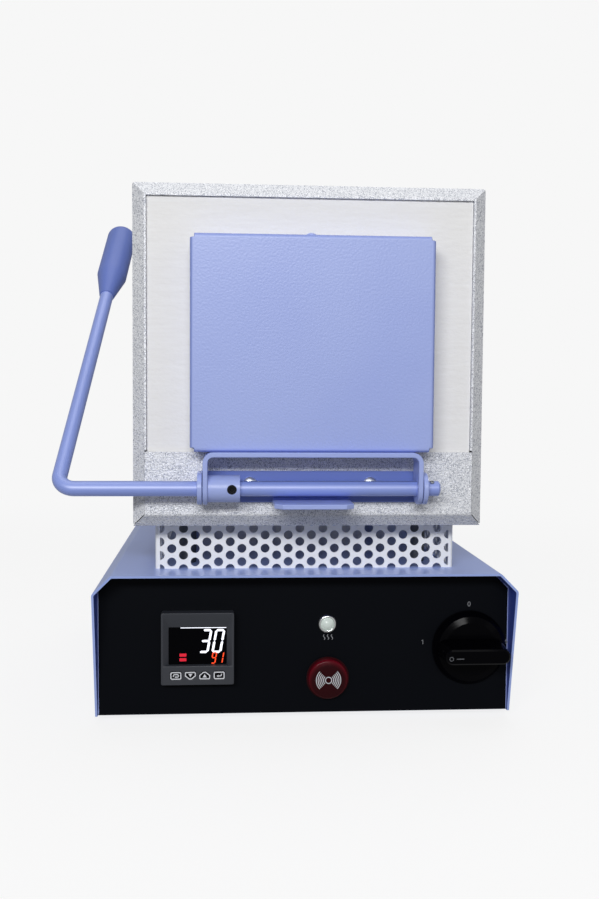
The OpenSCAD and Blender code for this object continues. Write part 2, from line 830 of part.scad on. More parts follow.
// Pan-head screws of the hinge plate, with nuts behind the painted strip
module hinge_screws() {
  color(zinc) at_panel() for (x = [-hinge_screw_x, hinge_screw_x]) {
    translate([x, plate_y - flat_t, hinge_screw_z]) rotate([90, 0, 0]) pan_screw(9, 2.8, 4.2, 8);
    difference() {
      translate([x, plate_y + casing_t, hinge_screw_z]) rotate([-90, 0, 0])
        cylinder(h = 3.2, d = 8.1, $fn = 6);
      rod_y(x, plate_y, plate_y + 5, hinge_screw_z, 4.2);
    }
  }
}

// Recess of the controller's face: slanted borders down to the window
module window_recess() {
  w = window_w / 2;
  z0 = window_up - window_h / 2;
  z1 = window_up + window_h / 2;
  edge = controller_size / 2 - 1.2;
  front = -controller_proud;
  intersection() {
    along_x(-w - 10, w + 10)
      polygon([[front - 1, z0 - 0.6], [front - 1, edge + 2.5], [window_y, z1], [window_y, z0]]);
    along_z(z0 - 2, edge + 4)
      polygon([[-edge - 1.2, front - 1], [edge + 1.2, front - 1], [w, window_y], [-w, window_y]]);
  }
}

// Outline of a controller key: kind 0 is a rounded block, -1 points down and 1 points up
module key_outline(kind, grow) {
  w = key_w / 2 + grow;
  h = key_h / 2 + grow;
  if (kind == 0) rounded(2 * w, 2 * h, 1.2 + grow);
  else scale([1, kind]) polygon([[-w * 0.82, -h], [w * 0.82, -h], [w, -h * 0.7], [w, h * 0.12],
    [w * 0.24, h], [-w * 0.24, h], [-w, h * 0.12], [-w, -h * 0.7]]);
}

module controller_case() {
  color("#3a3d44") at_panel() translate([controller_x, 0, controller_z]) difference() {
    union() {
      along_y(-controller_proud, 0) rounded(controller_size, controller_size, 1.2);
      along_y(-0.1, controller_depth) rounded(controller_body, controller_body, 1);
    }
    window_recess();
    // Seat of the window pane
    along_y(window_y - 0.1, window_y + 1.2)
      translate([0, window_up]) square([window_w, window_h], center = true);
    for (i = [0:3]) translate([key_x[i], 0, -key_down_by])
      along_y(-controller_proud - 1, key_l + key_travel + 0.4 - controller_proud)
        key_outline(key_kind[i], key_clear);
  }
}

module controller_window() {
  color("#0c0d10") at_panel() translate([controller_x, 0, controller_z])
    along_y(window_y, window_y + 1.2) translate([0, window_up]) square([window_w, window_h], center = true);
}

module key(i) {
  color(black) at_panel() translate([controller_x + key_x[i], 0, controller_z - key_down_by])
    along_y(-controller_proud - key_proud, key_l - controller_proud - key_proud) key_outline(key_kind[i], 0);
}

module key_cycle() {
  key(0);
}

module key_down() {
  key(1);
}

module key_up() {
  key(2);
}

module key_enter() {
  key(3);
}

module pilot_bezel() {
  color(zinc) at_panel() difference() {
    union() {
      round_along_y(pilot_x, -2.4, pilot_z)
        polygon([[4.4, 0], [5.4, 0], [pilot_d / 2, 1.2], [pilot_d / 2, 2.4], [4.4, 2.4]]);
      rod_y(pilot_x, 0, 22, pilot_z, 10);
    }
    rod_y(pilot_x, -5, 8, pilot_z, 8.8);
  }
}

module pilot_lens() {
  color("#e4e6e0") at_panel() intersection() {
    rod_y(pilot_x, -4, 8, pilot_z, 8.7);
    union() {
      translate([pilot_x, 1.4, pilot_z]) sphere(r = 5);
      rod_y(pilot_x, 1, 8, pilot_z, 8.7);
    }
  }
}

module buzzer_body() {
  color(black) at_panel() {
    round_along_y(buzzer_x, -2.2, buzzer_z)
      polygon([[0, 0.6], [buzzer_d / 2 - 0.9, 0.6], [buzzer_d / 2, 1.2], [buzzer_d / 2, 2.2], [0, 2.2]]);
    rod_y(buzzer_x, 0, 34, buzzer_z, buzzer_body_d);
  }
}

// Low red dome with a round edge
module buzzer_lens() {
  r = buzzer_d / 2 - 1;
  rise = 5.4;
  edge = 1.8;
  color("#7a1420") at_panel() round_along_y(buzzer_x, -1.6, buzzer_z)
    polygon(concat(
      [[0, 0], [r, 0]],
      [for (i = [0:6]) [r - edge + edge * cos(i * 15), -rise + 1.2 + edge - edge * sin(i * 15) - edge * 0.2]],
      [[r * 0.62, -rise - 0.1], [0, -rise - 0.5]]
    ));
}

// Nuts behind the panel that hold the pilot light, the buzzer and the regulator
module panel_nuts() {
  y = overlay_t + sheet_t;
  color(zinc) at_panel() {
    for (n = [[pilot_x, pilot_z, 14, 10], [buzzer_x, buzzer_z, 28, buzzer_body_d],
      [knob_x, knob_z, 14, bush_d]])
      difference() {
        translate([n[0], y, n[1]]) rotate([-90, 0, 0]) cylinder(h = 3, d = n[2], $fn = 6);
        rod_y(n[0], y - 1, y + 4, n[1], n[3]);
      }
  }
}

// Energy regulator: its bush comes through the panel and carries the knob's shaft
module regulator() {
  y = overlay_t + sheet_t + 3;
  color("#d8d2c0") at_panel() difference() {
    union() {
      along_y(y, y + 30) translate([knob_x, knob_z]) rounded(42, 38, 3);
      rod_y(knob_x, overlay_t + sheet_t - bush_l + 2, y, knob_z, bush_d);
    }
    rod_y(knob_x, -10, y + 18, knob_z, shaft_d + 2 * running);
  }
}

module selector_shaft() {
  color(steel) at_panel() rod_y(knob_x, -20, 18, knob_z, shaft_d);
}

// Control knob: a wide skirt, and a grip bar that thins towards its face
module selector_knob() {
  root = -knob_skirt_h;
  skirt_y = -0.4;
  color(black) at_panel() translate([knob_x, 0, knob_z]) difference() {
    union() {
      round_along_y(0, root, 0) polygon([[0, -1.4], [knob_d / 2 - 7, -1.4], [knob_d / 2 - 3, 0],
        [knob_d / 2, 4.6], [knob_d / 2, knob_skirt_h + skirt_y], [0, knob_skirt_h + skirt_y]]);
      hull() {
        along_y(root, root + 1) rounded(knob_grip_w + 3, knob_root_t, knob_root_t / 2 - 0.1, $fn = 32);
        along_y(-knob_proud + 1.2, root)
          rounded(knob_grip_w, knob_grip_t, knob_grip_t / 2 - 0.1, $fn = 32);
        along_y(-knob_proud, -knob_proud + 1.2)
          rounded(knob_grip_w - 2, knob_grip_t - 2, knob_grip_t / 2 - 1.1, $fn = 32);
      }
    }
    rod_y(0, -20, 1, 0, shaft_d);
    // Hollow back of the skirt, round the bush
    round_along_y(0, -4, 0) polygon([[0, 0], [knob_d / 2 - 4, 0], [knob_d / 2 - 2.5, 4.5], [0, 4.5]]);
  }
}

// Door pan: two folded sections crossed, so that its corners are notched
module door_shell() {
  mid = sheet_t / 2;
  notch = 2.6;
  x = door_w / 2;
  y0 = door_y + mid;
  color(blue) at_panel() difference() {
    union() {
      along_z(door_z0 + notch, door_z1 - notch)
        folded([[mid - x, pan_y], [mid - x, y0], [x - mid, y0], [x - mid, pan_y]], sheet_t, 1.8);
      along_x(notch - x, x - notch)
        folded([[pan_y, door_z0 + mid], [y0, door_z0 + mid], [y0, door_z1 - mid], [pan_y, door_z1 - mid]],
          sheet_t, 1.8);
    }
    translate([-1, pan_y - 8, door_z1 - 5]) cylinder(h = 10, d = 3.2);
    for (s = [-1, 1])
      translate([s * bracket_screw_x, bracket_screw_y, door_z0 - 1]) cylinder(h = 4, d = 4.3);
  }
}

// Fibre slab in the pan, and the tapered plug that fills the chamber's mouth
module door_board() {
  e = sheet_t + 0.1;
  x = door_w / 2 - e;
  y0 = door_y + e;
  bevel = 1.2;
  seal_y = board_y0 - gap;
  plug_x = chamber_w / 2 - plug_clear;
  plug_z = chamber_h / 2 - plug_clear;
  taper = 2;
  color(fibre) at_panel() difference() {
    union() {
      // The front edges clear the inside of the pan's bends
      intersection() {
        along_z(door_z0 + e, door_z1 - e)
          polygon([[-x, seal_y], [-x, y0 + bevel], [bevel - x, y0], [x - bevel, y0], [x, y0 + bevel],
            [x, seal_y]]);
        along_x(-x, x)
          polygon([[seal_y, door_z0 + e], [y0 + bevel, door_z0 + e], [y0, door_z0 + e + bevel],
            [y0, door_z1 - e - bevel], [y0 + bevel, door_z1 - e], [seal_y, door_z1 - e]]);
      }
      intersection() {
        along_z(chamber_z - plug_z, chamber_z + plug_z)
          polygon([[-plug_x, seal_y - 1], [plug_x, seal_y - 1], [plug_x - taper, board_y0 + door_plug_d],
            [taper - plug_x, board_y0 + door_plug_d]]);
        along_x(-plug_x, plug_x)
          polygon([[seal_y - 1, chamber_z - plug_z], [seal_y - 1, chamber_z + plug_z],
            [board_y0 + door_plug_d, chamber_z + plug_z - taper],
            [board_y0 + door_plug_d, chamber_z - plug_z + taper]]);
      }
    }
    translate([-1, pan_y - 8, door_z1 - 14]) cylinder(h = 20, d = 3);
    for (s = [-1, 1])
      translate([s * bracket_screw_x, bracket_screw_y, door_z0]) cylinder(h = 6, d = 8);
  }
}

// Screw through the top flange that keeps the fibre slab in the pan
module door_screw() {
  color(blue) at_panel() translate([-1, pan_y - 8, door_z1]) pan_screw(6.4, 2.2, 3, 12);
}

// Flat bar bent into a U: its legs hang beside the hinge ears, on the shaft
module door_bracket() {
  x = bracket_w / 2 - flat_t / 2;
  top = bracket_top - flat_t / 2;
  color(blue) at_panel() translate([hinge_x, 0, 0]) difference() {
    intersection() {
      along_y(axis_y - bar_w / 2, axis_y + bar_w / 2)
        folded([[-x, axis_z - bar_w / 2], [-x, top], [x, top], [x, axis_z - bar_w / 2]],
          flat_t, bracket_bend);
      // The legs end in a half round about the shaft
      along_x(-bracket_w, bracket_w) {
        translate([axis_y, axis_z]) circle(d = bar_w);
        translate([axis_y - bar_w / 2, axis_z]) square([bar_w, bracket_top - axis_z]);
      }
    }
    rod_x(-bracket_w, bracket_w, axis_y, axis_z, rod_d);
    for (x = [-bracket_screw_x, bracket_screw_x])
      translate([x - hinge_x, bracket_screw_y, bracket_top - 5]) cylinder(h = 10, d = 4.3);
  }
}

// Screws up through the bracket into nuts inside the door's bottom flange
module bracket_screws() {
  color(steel) at_panel() for (s = [-1, 1])
    translate([s * bracket_screw_x, bracket_screw_y, bracket_top - flat_t]) {
      rotate([180, 0, 0]) pan_screw(7.2, 1.8, 4, 7);
      translate([0, 0, flat_t + sheet_t]) cylinder(h = 2.4, d = 7.4, $fn = 6);
    }
}

// Collar welded inside the bracket's left leg, with a tapped hole for the set screw
module hinge_hub() {
  x0 = hinge_x - bracket_w / 2 + flat_t;
  color(blue) at_panel() difference() {
    rod_x(x0, x0 + hub_l, axis_y, axis_z, hub_d);
    rod_x(x0 - 1, x0 + hub_l + 1, axis_y, axis_z, rod_d);
    rod_y(x0 + hub_l - set_screw_at, axis_y - hub_d, axis_y, axis_z, 6);
  }
}

module set_screw() {
  x = hinge_x - bracket_w / 2 + flat_t + hub_l - set_screw_at;
  y0 = axis_y - hub_d / 2 + 0.7;
  color(black) at_panel() difference() {
    rod_y(x, y0, axis_y - rod_d / 2, axis_z, 6);
    translate([x, y0 - 1, axis_z]) rotate([-90, 0, 0]) cylinder(h = 3, d = 3.46, $fn = 6);
  }
}

// Places its child on the hinge axis, leaned back with the lever
module in_lever_plane() {
  translate([0, axis_y, axis_z]) rotate([-lever_lean, 0, 0]) children();
}

// Round rod: hinge shaft at its right, one bend, and the lever arm beside the casing
module lever_rod() {
  turn = 90 + lever_tilt;
  bend_x = rod_bend_x + rod_bend_r * tan(turn / 2);
  arm_l = lever_l - grip_l + grip_bore - rod_bend_r * tan(turn / 2);
  chamfer = 1;
  reach = 3 * rod_bend_r;
  color(lever_blue) at_panel() in_lever_plane() {
    difference() {
      union() {
        rod_x(bend_x, rod_end_x - chamfer, 0, 0, rod_d);
        translate([rod_end_x - chamfer, 0, 0]) rotate([0, 90, 0])
          cylinder(h = chamfer, d1 = rod_d, d2 = rod_d - 2 * chamfer);
      }
      translate([pin_x, 0, 0]) rotate([90 - pin_tilt + lever_lean, 0, 0])
        cylinder(h = 20, d = pin_d, center = true);
    }
    translate([bend_x, 0, rod_bend_r]) rotate([90, 0, 0]) {
      // The part of the ring between the shaft's end and the arm's end
      intersection() {
        rotate_extrude() translate([rod_bend_r, 0]) circle(d = rod_d);
        block([-reach, -reach, -rod_d], [0, reach, rod_d]);
        rotate(270 - turn) block([-reach, 0, -rod_d], [reach, reach, rod_d]);
      }
      rotate(270 - turn) translate([rod_bend_r, 0, 0]) rotate([90, 0, 0]) cylinder(h = arm_l, d = rod_d);
    }
  }
}

// Turned grip: a cone that swells from the rod into a round-ended cylinder
module lever_grip() {
  r = grip_d / 2;
  color(lever_blue) at_panel() in_lever_plane()
    translate([rod_bend_x, 0, 0]) rotate([0, lever_tilt, 0]) translate([0, 0, lever_l - grip_l])
      difference() {
        rotate_extrude() polygon(concat(
          [[0, 0], [grip_neck_d / 2 - 0.6, 0], [grip_neck_d / 2, 0.6], [r, grip_neck_l]],
          [for (i = [0:8]) [r - grip_round + grip_round * cos(i * 11.25),
            grip_l - grip_round + grip_round * sin(i * 11.25)]],
          [[0, grip_l]]
        ));
        translate([0, 0, -1]) cylinder(h = grip_bore + 1, d = rod_d);
      }
}

// Roll pin across the shaft's free end, which keeps it in the ears
module shaft_pin() {
  color(steel) at_panel() translate([pin_x, axis_y, axis_z]) rotate([90 - pin_tilt, 0, 0])
    difference() {
      cylinder(h = rod_d + 1.6, d = pin_d, center = true);
      cylinder(h = rod_d + 4, d = 1.2, center = true);
    }
}

base_tray();
base_hood();
panel_overlay();
rubber_feet();
foot_screws();
housing_screws();
cable_gland();
fuse_holder();
power_relay();
terminal_strip();
plinth_front();
plinth_rear();
plinth_left();
plinth_right();
standoff_posts();
post_bolts();
casing_wrap();
casing_bottom();
casing_rear();
terminal_cover();
front_board();
chamber_floor();
chamber_roof();
heater_tile_left();
heater_tile_right();
heating_coils();
hearth_tile();
rear_insulation();
side_insulation();
top_insulation();
bottom_insulation();
thermocouple();
heater_terminals();
hinge_plate();
hinge_screws();
controller_case();
controller_window();
pilot_bezel();
pilot_lens();
buzzer_body();
buzzer_lens();
panel_nuts();
regulator();
door_shell();
door_board();
door_screw();
door_bracket();
bracket_screws();
hinge_hub();
set_screw();
lever_rod();
lever_grip();
shaft_pin();
selector_knob();
selector_shaft();
key_cycle();
key_down();
key_up();
key_enter();
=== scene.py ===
"""Looks of a dental lab burnout furnace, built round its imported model.

Lengths are millimetres and angles are degrees, unless a name says otherwise. X runs left to right
as the operator sees it, Y runs to the back, Z is up, and the origin is on the bench.
"""

import json
import logging
import math
from collections.abc import Callable
from dataclasses import dataclass, field
from enum import Enum

import bmesh
import bpy
from mathutils import Matrix, Vector

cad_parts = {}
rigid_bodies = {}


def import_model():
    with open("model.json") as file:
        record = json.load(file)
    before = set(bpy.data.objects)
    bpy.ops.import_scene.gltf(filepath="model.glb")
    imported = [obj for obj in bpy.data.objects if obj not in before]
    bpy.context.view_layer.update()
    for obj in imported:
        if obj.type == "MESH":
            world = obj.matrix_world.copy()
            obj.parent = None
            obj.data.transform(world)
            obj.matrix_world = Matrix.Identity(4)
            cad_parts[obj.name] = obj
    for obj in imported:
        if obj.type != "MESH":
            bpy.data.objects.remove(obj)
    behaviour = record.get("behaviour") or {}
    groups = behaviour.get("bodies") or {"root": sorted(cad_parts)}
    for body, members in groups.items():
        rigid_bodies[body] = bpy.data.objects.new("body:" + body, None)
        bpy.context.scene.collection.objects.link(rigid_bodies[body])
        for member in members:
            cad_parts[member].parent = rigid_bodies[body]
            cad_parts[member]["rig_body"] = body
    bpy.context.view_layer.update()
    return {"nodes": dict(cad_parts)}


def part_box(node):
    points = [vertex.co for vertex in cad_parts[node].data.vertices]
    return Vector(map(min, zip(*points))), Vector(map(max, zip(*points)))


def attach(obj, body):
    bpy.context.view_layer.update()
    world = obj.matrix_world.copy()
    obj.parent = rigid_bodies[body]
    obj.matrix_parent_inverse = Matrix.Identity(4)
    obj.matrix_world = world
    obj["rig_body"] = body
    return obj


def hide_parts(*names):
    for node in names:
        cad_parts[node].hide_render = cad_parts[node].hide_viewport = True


LOG = logging.getLogger("furnace")
MM = 0.001
# Points this near are one, edges this short vanish, and faces this nearly level are one
JOIN_WITHIN = 0.002 * MM
SLIVER = 0.004 * MM
FLAT_WITHIN = math.radians(0.5)
Pair = tuple[float, float]
Triple = tuple[float, float, float]
Outline = list[Pair]
Links = dict[str | int, object]
Tree = bpy.types.NodeTree
Node = bpy.types.Node
Socket = bpy.types.NodeSocket


def linear(hex_colour: str) -> tuple[float, float, float, float]:
    """Turns an sRGB hex colour into linear light.

    Args:
        hex_colour: A colour such as "#8fa0d8".

    Returns:
        Linear red, green, blue and an alpha of 1.
    """
    channels = [int(hex_colour[i : i + 2], 16) / 255 for i in (1, 3, 5)]
    red, green, blue = (c / 12.92 if c <= 0.04045 else ((c + 0.055) / 1.055) ** 2.4 for c in channels)
    return red, green, blue, 1.0


def feed(tree: Tree, node: Node, links: Links) -> None:
    """Links or sets a node's inputs.

    Args:
        tree: The node's tree.
        node: The node.
        links: For each input, by name or number, a socket to link or a value to set.
    """
    for key, value in links.items():
        if isinstance(value, Socket):
            tree.links.new(value, node.inputs[key])
        else:
            node.inputs[key].default_value = value


def add_node(tree: Tree, kind: str, links: Links | None = None, **settings: object) -> Node:
    """Adds one node to a shader or geometry tree.

    Args:
        tree: The tree that gets the node.
        kind: The node's type.
        links: What its inputs get, as for feed.
        **settings: The node's own properties.

    Returns:
        The new node.
    """
    node = tree.nodes.new(kind)
    for name, value in settings.items():
        setattr(node, name, value)
    feed(tree, node, links or {})
    return node


@dataclass(frozen=True)
class Grain:
    """A noise pattern: its real size, and a factor for each axis, below 1 where it is drawn long."""

    size: float
    detail: float = 3.0
    roughness: float = 0.5
    squeeze: Triple = (1.0, 1.0, 1.0)

    def inputs(self, place: Socket) -> Links:
        """What a noise texture takes to draw this grain."""
        return {"Vector": place, "Scale": 1 / self.size, "Detail": self.detail, "Roughness": self.roughness}


@dataclass(frozen=True)
class Finish:
    """A material by its name, colour and shine, and the base of every finish."""

    name: str
    colour: str
    roughness: float
    metallic: float = 0.0

    def material(self) -> bpy.types.Material:
        """Makes the material at its first use, and gives the same one afterwards.

        Returns:
            The material.
        """
        known = bpy.data.materials.get(self.name)
        if known:
            return known
        made = bpy.data.materials.new(self.name)
        made.use_nodes = True
        made.diffuse_color = linear(self.colour)
        tree = made.node_tree
        tree.nodes.clear()
        shader = add_node(
            tree,
            "ShaderNodeBsdfPrincipled",
            {"Base Color": linear(self.colour), "Roughness": self.roughness, "Metallic": self.metallic},
        )
        add_node(tree, "ShaderNodeOutputMaterial", {"Surface": shader.outputs[0]})
        coordinates = add_node(tree, "ShaderNodeTexCoord")
        place = add_node(
            tree,
            "ShaderNodeVectorMath",
            {0: coordinates.outputs["Object"], 1: (1 / MM, 1 / MM, 1 / MM)},
            operation="MULTIPLY",
        )
        self.pattern(tree, shader, place.outputs[0])
        return made

    def pattern(self, tree: Tree, shader: Node, place: Socket) -> None:
        """Adds the finish's own pattern, which reads Object coordinates in millimetres."""


@dataclass(frozen=True)
class GrainedSurface(Finish):
    """A moulded, printed or cast surface: its relief breaks its gloss, and its tone runs between two.

    `gloss` is how far roughness falls and rises, and `tone` is the tone's grain, if not the relief's.
    """

    second: str = ""
    relief: Grain = Grain(0.6)
    height: float = 0.01
    tone: Grain | None = None
    gloss: Pair = (0.05, 0.05)
    specular: float = 0.5
    coat: float = 0.0
    coat_roughness: float = 0.03

    def pattern(self, tree: Tree, shader: Node, place: Socket) -> None:
        """Adds relief, gloss and tone.

        Args:
            tree: The material's nodes.
            shader: Its surface shader.
            place: Object coordinates in millimetres.
        """
        grains = []
        for grain in filter(None, (self.relief, self.tone)):
            squeezed = add_node(
                tree, "ShaderNodeVectorMath", {0: place, 1: grain.squeeze}, operation="MULTIPLY"
            )
            grains.append(add_node(tree, "ShaderNodeTexNoise", grain.inputs(squeezed.outputs[0])).outputs[0])
        bump = add_node(
            tree, "ShaderNodeBump", {"Height": grains[0], "Distance": self.height * MM, "Strength": 1.0}
        )
        feed(tree, shader, {"Normal": bump.outputs[0], **self.even_values()})
        if any(self.gloss):
            low, high = self.roughness - self.gloss[0], self.roughness + self.gloss[1]
            gloss = add_node(tree, "ShaderNodeMapRange", {0: grains[0], 3: low, 4: high})
            feed(tree, shader, {"Roughness": gloss.outputs[0]})
        feed(tree, shader, {"Base Color": self.tint(tree, place, grains)})

    def even_values(self) -> Links:
        """Gathers what is the same all over the surface.

        Returns:
            Values for the shader's own sockets.
        """
        return {
            "Specular IOR Level": self.specular,
            "Coat Weight": self.coat,
            "Coat Roughness": self.coat_roughness,
        }

    def tint(self, tree: Tree, place: Socket, grains: list[Socket]) -> object:
        """Adds the colour.

        Args:
            tree: The material's nodes.
            place: Object coordinates in millimetres; not used here.
            grains: The relief, and the tone's grain if it has its own.

        Returns:
            The socket of the colour, or one plain colour.
        """
        mix = add_node(
            tree,
            "ShaderNodeMix",
            {0: grains[-1], 6: linear(self.colour), 7: linear(self.second)},
            data_type="RGBA",
        )
        return mix.outputs[2]


@dataclass(frozen=True)
class PowderCoat(GrainedSurface):
    """Baked epoxy powder on sheet steel: fine orange peel that softens reflections, tone that drifts."""

    relief: Grain = Grain(1.3, 1.5)
    height: float = 0.02
    tone: Grain | None = Grain(70.0, 2.0)
    gloss: Pair = (0.04, 0.04)
    coat: float = 0.3
    coat_roughness: float = 0.15


@dataclass(frozen=True)
class TurnedMetal(GrainedSurface):
    """Bare or plated metal: fine tool marks run round it or along X, and stretch its highlights."""

    relief: Grain = Grain(1.0, squeeze=(0.15, 2.5, 2.5))
    height: float = 0.004
    gloss: Pair = (0.08, 0.1)


@dataclass(frozen=True)
class CeramicFibre(GrainedSurface):
    """Vacuum-formed ceramic-fibre board: chalky felted relief, faint lines of its screen along X."""

    relief: Grain = Grain(2.4, 4.0, 0.6, (0.5, 1.0, 1.0))
    height: float = 0.28
    tone: Grain | None = Grain(1.6, squeeze=(1 / 12, 1.0, 1.0))
    gloss: Pair = (0.0, 0.0)
    specular: float = 0.2


@dataclass(frozen=True)
class HammeredEnamel(GrainedSurface):
    """Hammer-finish silver enamel on steel: shallow dimples, dark lines in patches, and painted glints as
    pale flecks.

    `crease` is how near the middle height a dark line lies. `patch_range` and `painted_glint_range` are the
    stretches of noise over which dark lines and painted glints fade in.
    """

    relief: Grain = Grain(1.35, 1.5, 0.6)
    height: float = 0.65
    gloss: Pair = (0.0, 0.0)
    # Colour of the painted glints
    pale: str = "#f4f6f9"
    dark: str = "#878d9c"
    crease: float = 0.065
    patch: Grain = Grain(2.25, 1.0)
    patch_range: Pair = (0.22, 0.5)
    painted_glint: Grain = Grain(0.9, 2.0, 0.6)
    painted_glint_range: Pair = (0.55, 0.68)

    def tint(self, tree: Tree, place: Socket, grains: list[Socket]) -> Socket:
        """Adds dark lines in patches along the dimples' middle height, and painted glints: pale flecks for
        light the enamel catches.

        Args:
            tree: The material's nodes.
            place: Object coordinates in millimetres.
            grains: The dimples' relief.

        Returns:
            The socket of the colour.
        """
        masks = []
        for grain, (start, full) in ((self.patch, self.patch_range), (self.painted_glint, self.painted_glint_range)):
            noise = add_node(tree, "ShaderNodeTexNoise", grain.inputs(place))
            mask = add_node(tree, "ShaderNodeMapRange", {0: noise.outputs[0], 1: start, 2: full})
            masks.append(mask.outputs[0])
        off_middle = add_node(tree, "ShaderNodeMath", {0: grains[0], 1: 0.5}, operation="SUBTRACT")
        away = add_node(tree, "ShaderNodeMath", {0: off_middle.outputs[0]}, operation="ABSOLUTE")
        creases = add_node(tree, "ShaderNodeMapRange", {0: away.outputs[0], 1: self.crease, 2: 0.0})
        patchy = add_node(
            tree, "ShaderNodeMath", {0: creases.outputs[0], 1: masks[0]}, operation="MULTIPLY"
        )
        colour = linear(self.colour)
        # Painted highlight: pale flecks stand in for glints of light on the enamel
        for mask, over in ((patchy.outputs[0], self.dark), (masks[1], self.pale)):
            layer = add_node(tree, "ShaderNodeMix", {0: mask, 6: colour, 7: linear(over)}, data_type="RGBA")
            colour = layer.outputs[2]
        return colour


@dataclass(frozen=True)
class ClearMoulding(GrainedSurface):
    """Transparent moulded plastic: tinted through, glossy outside, with a moulded ripple."""

    relief: Grain = Grain(2.0, 1.0)
    height: float = 0.02
    gloss: Pair = (0.0, 0.0)
    clearness: float = 1.0
    ior: float = 1.49
    glow: float = 0.0

    def even_values(self) -> Links:
        """Adds the clear body, and the lamp's light inside it where it is lit.

        Returns:
            Values for the shader's own sockets.
        """
        return super().even_values() | {
            "Transmission Weight": self.clearness,
            "IOR": self.ior,
            "Emission Color": linear(self.colour),
            "Emission Strength": self.glow,
        }

    def tint(self, tree: Tree, place: Socket, grains: list[Socket]) -> object:
        """The plain colour of the plastic."""
        return linear(self.colour)


@dataclass(frozen=True)
class RimLitLens(ClearMoulding):
    """A lens whose rim carries painted light: a lighter ring of tone, for the light that enters round its
    edge.
    """

    rim: str = "#680b1b"
    centre: Triple = (0.0, 0.0, 0.0)
    rim_from: float = 10.4
    rim_to: float = 15.0

    def tint(self, tree: Tree, place: Socket, grains: list[Socket]) -> Socket:
        """Adds the painted light: a ring of lighter tone.

        Args:
            tree: The material's nodes.
            place: Object coordinates in millimetres.
            grains: The ripple; not used here.

        Returns:
            The socket of the colour.
        """
        reach = add_node(tree, "ShaderNodeVectorMath", {0: place, 1: self.centre}, operation="DISTANCE")
        mask = add_node(
            tree,
            "ShaderNodeMapRange",
            {0: reach.outputs["Value"], 1: self.rim_from, 2: self.rim_to},
            interpolation_type="SMOOTHSTEP",
        )
        tone = add_node(
            tree,
            "ShaderNodeMix",
            {0: mask.outputs[0], 6: linear(self.colour), 7: linear(self.rim)},
            data_type="RGBA",
        )
        return tone.outputs[2]


@dataclass(frozen=True)
class LitDisplay(Finish):
    """Lit segments behind a display window: they shine in their own colour, a little unevenly."""

    strength: float = 1.0
    haze: Grain = Grain(2.0, 1.0)
    unevenness: float = 0.15

    def pattern(self, tree: Tree, shader: Node, place: Socket) -> None:
        """Adds the light, as behind a diffuser.

        Args:
            tree: The material's nodes.
            shader: Its surface shader.
            place: Object coordinates in millimetres.
        """
        haze = add_node(tree, "ShaderNodeTexNoise", self.haze.inputs(place))
        low, high = self.strength * (1 - self.unevenness), self.strength * (1 + self.unevenness)
        glow = add_node(tree, "ShaderNodeMapRange", {0: haze.outputs[0], 3: low, 4: high})
        feed(tree, shader, {"Emission Color": linear(self.colour), "Emission Strength": glow.outputs[0]})


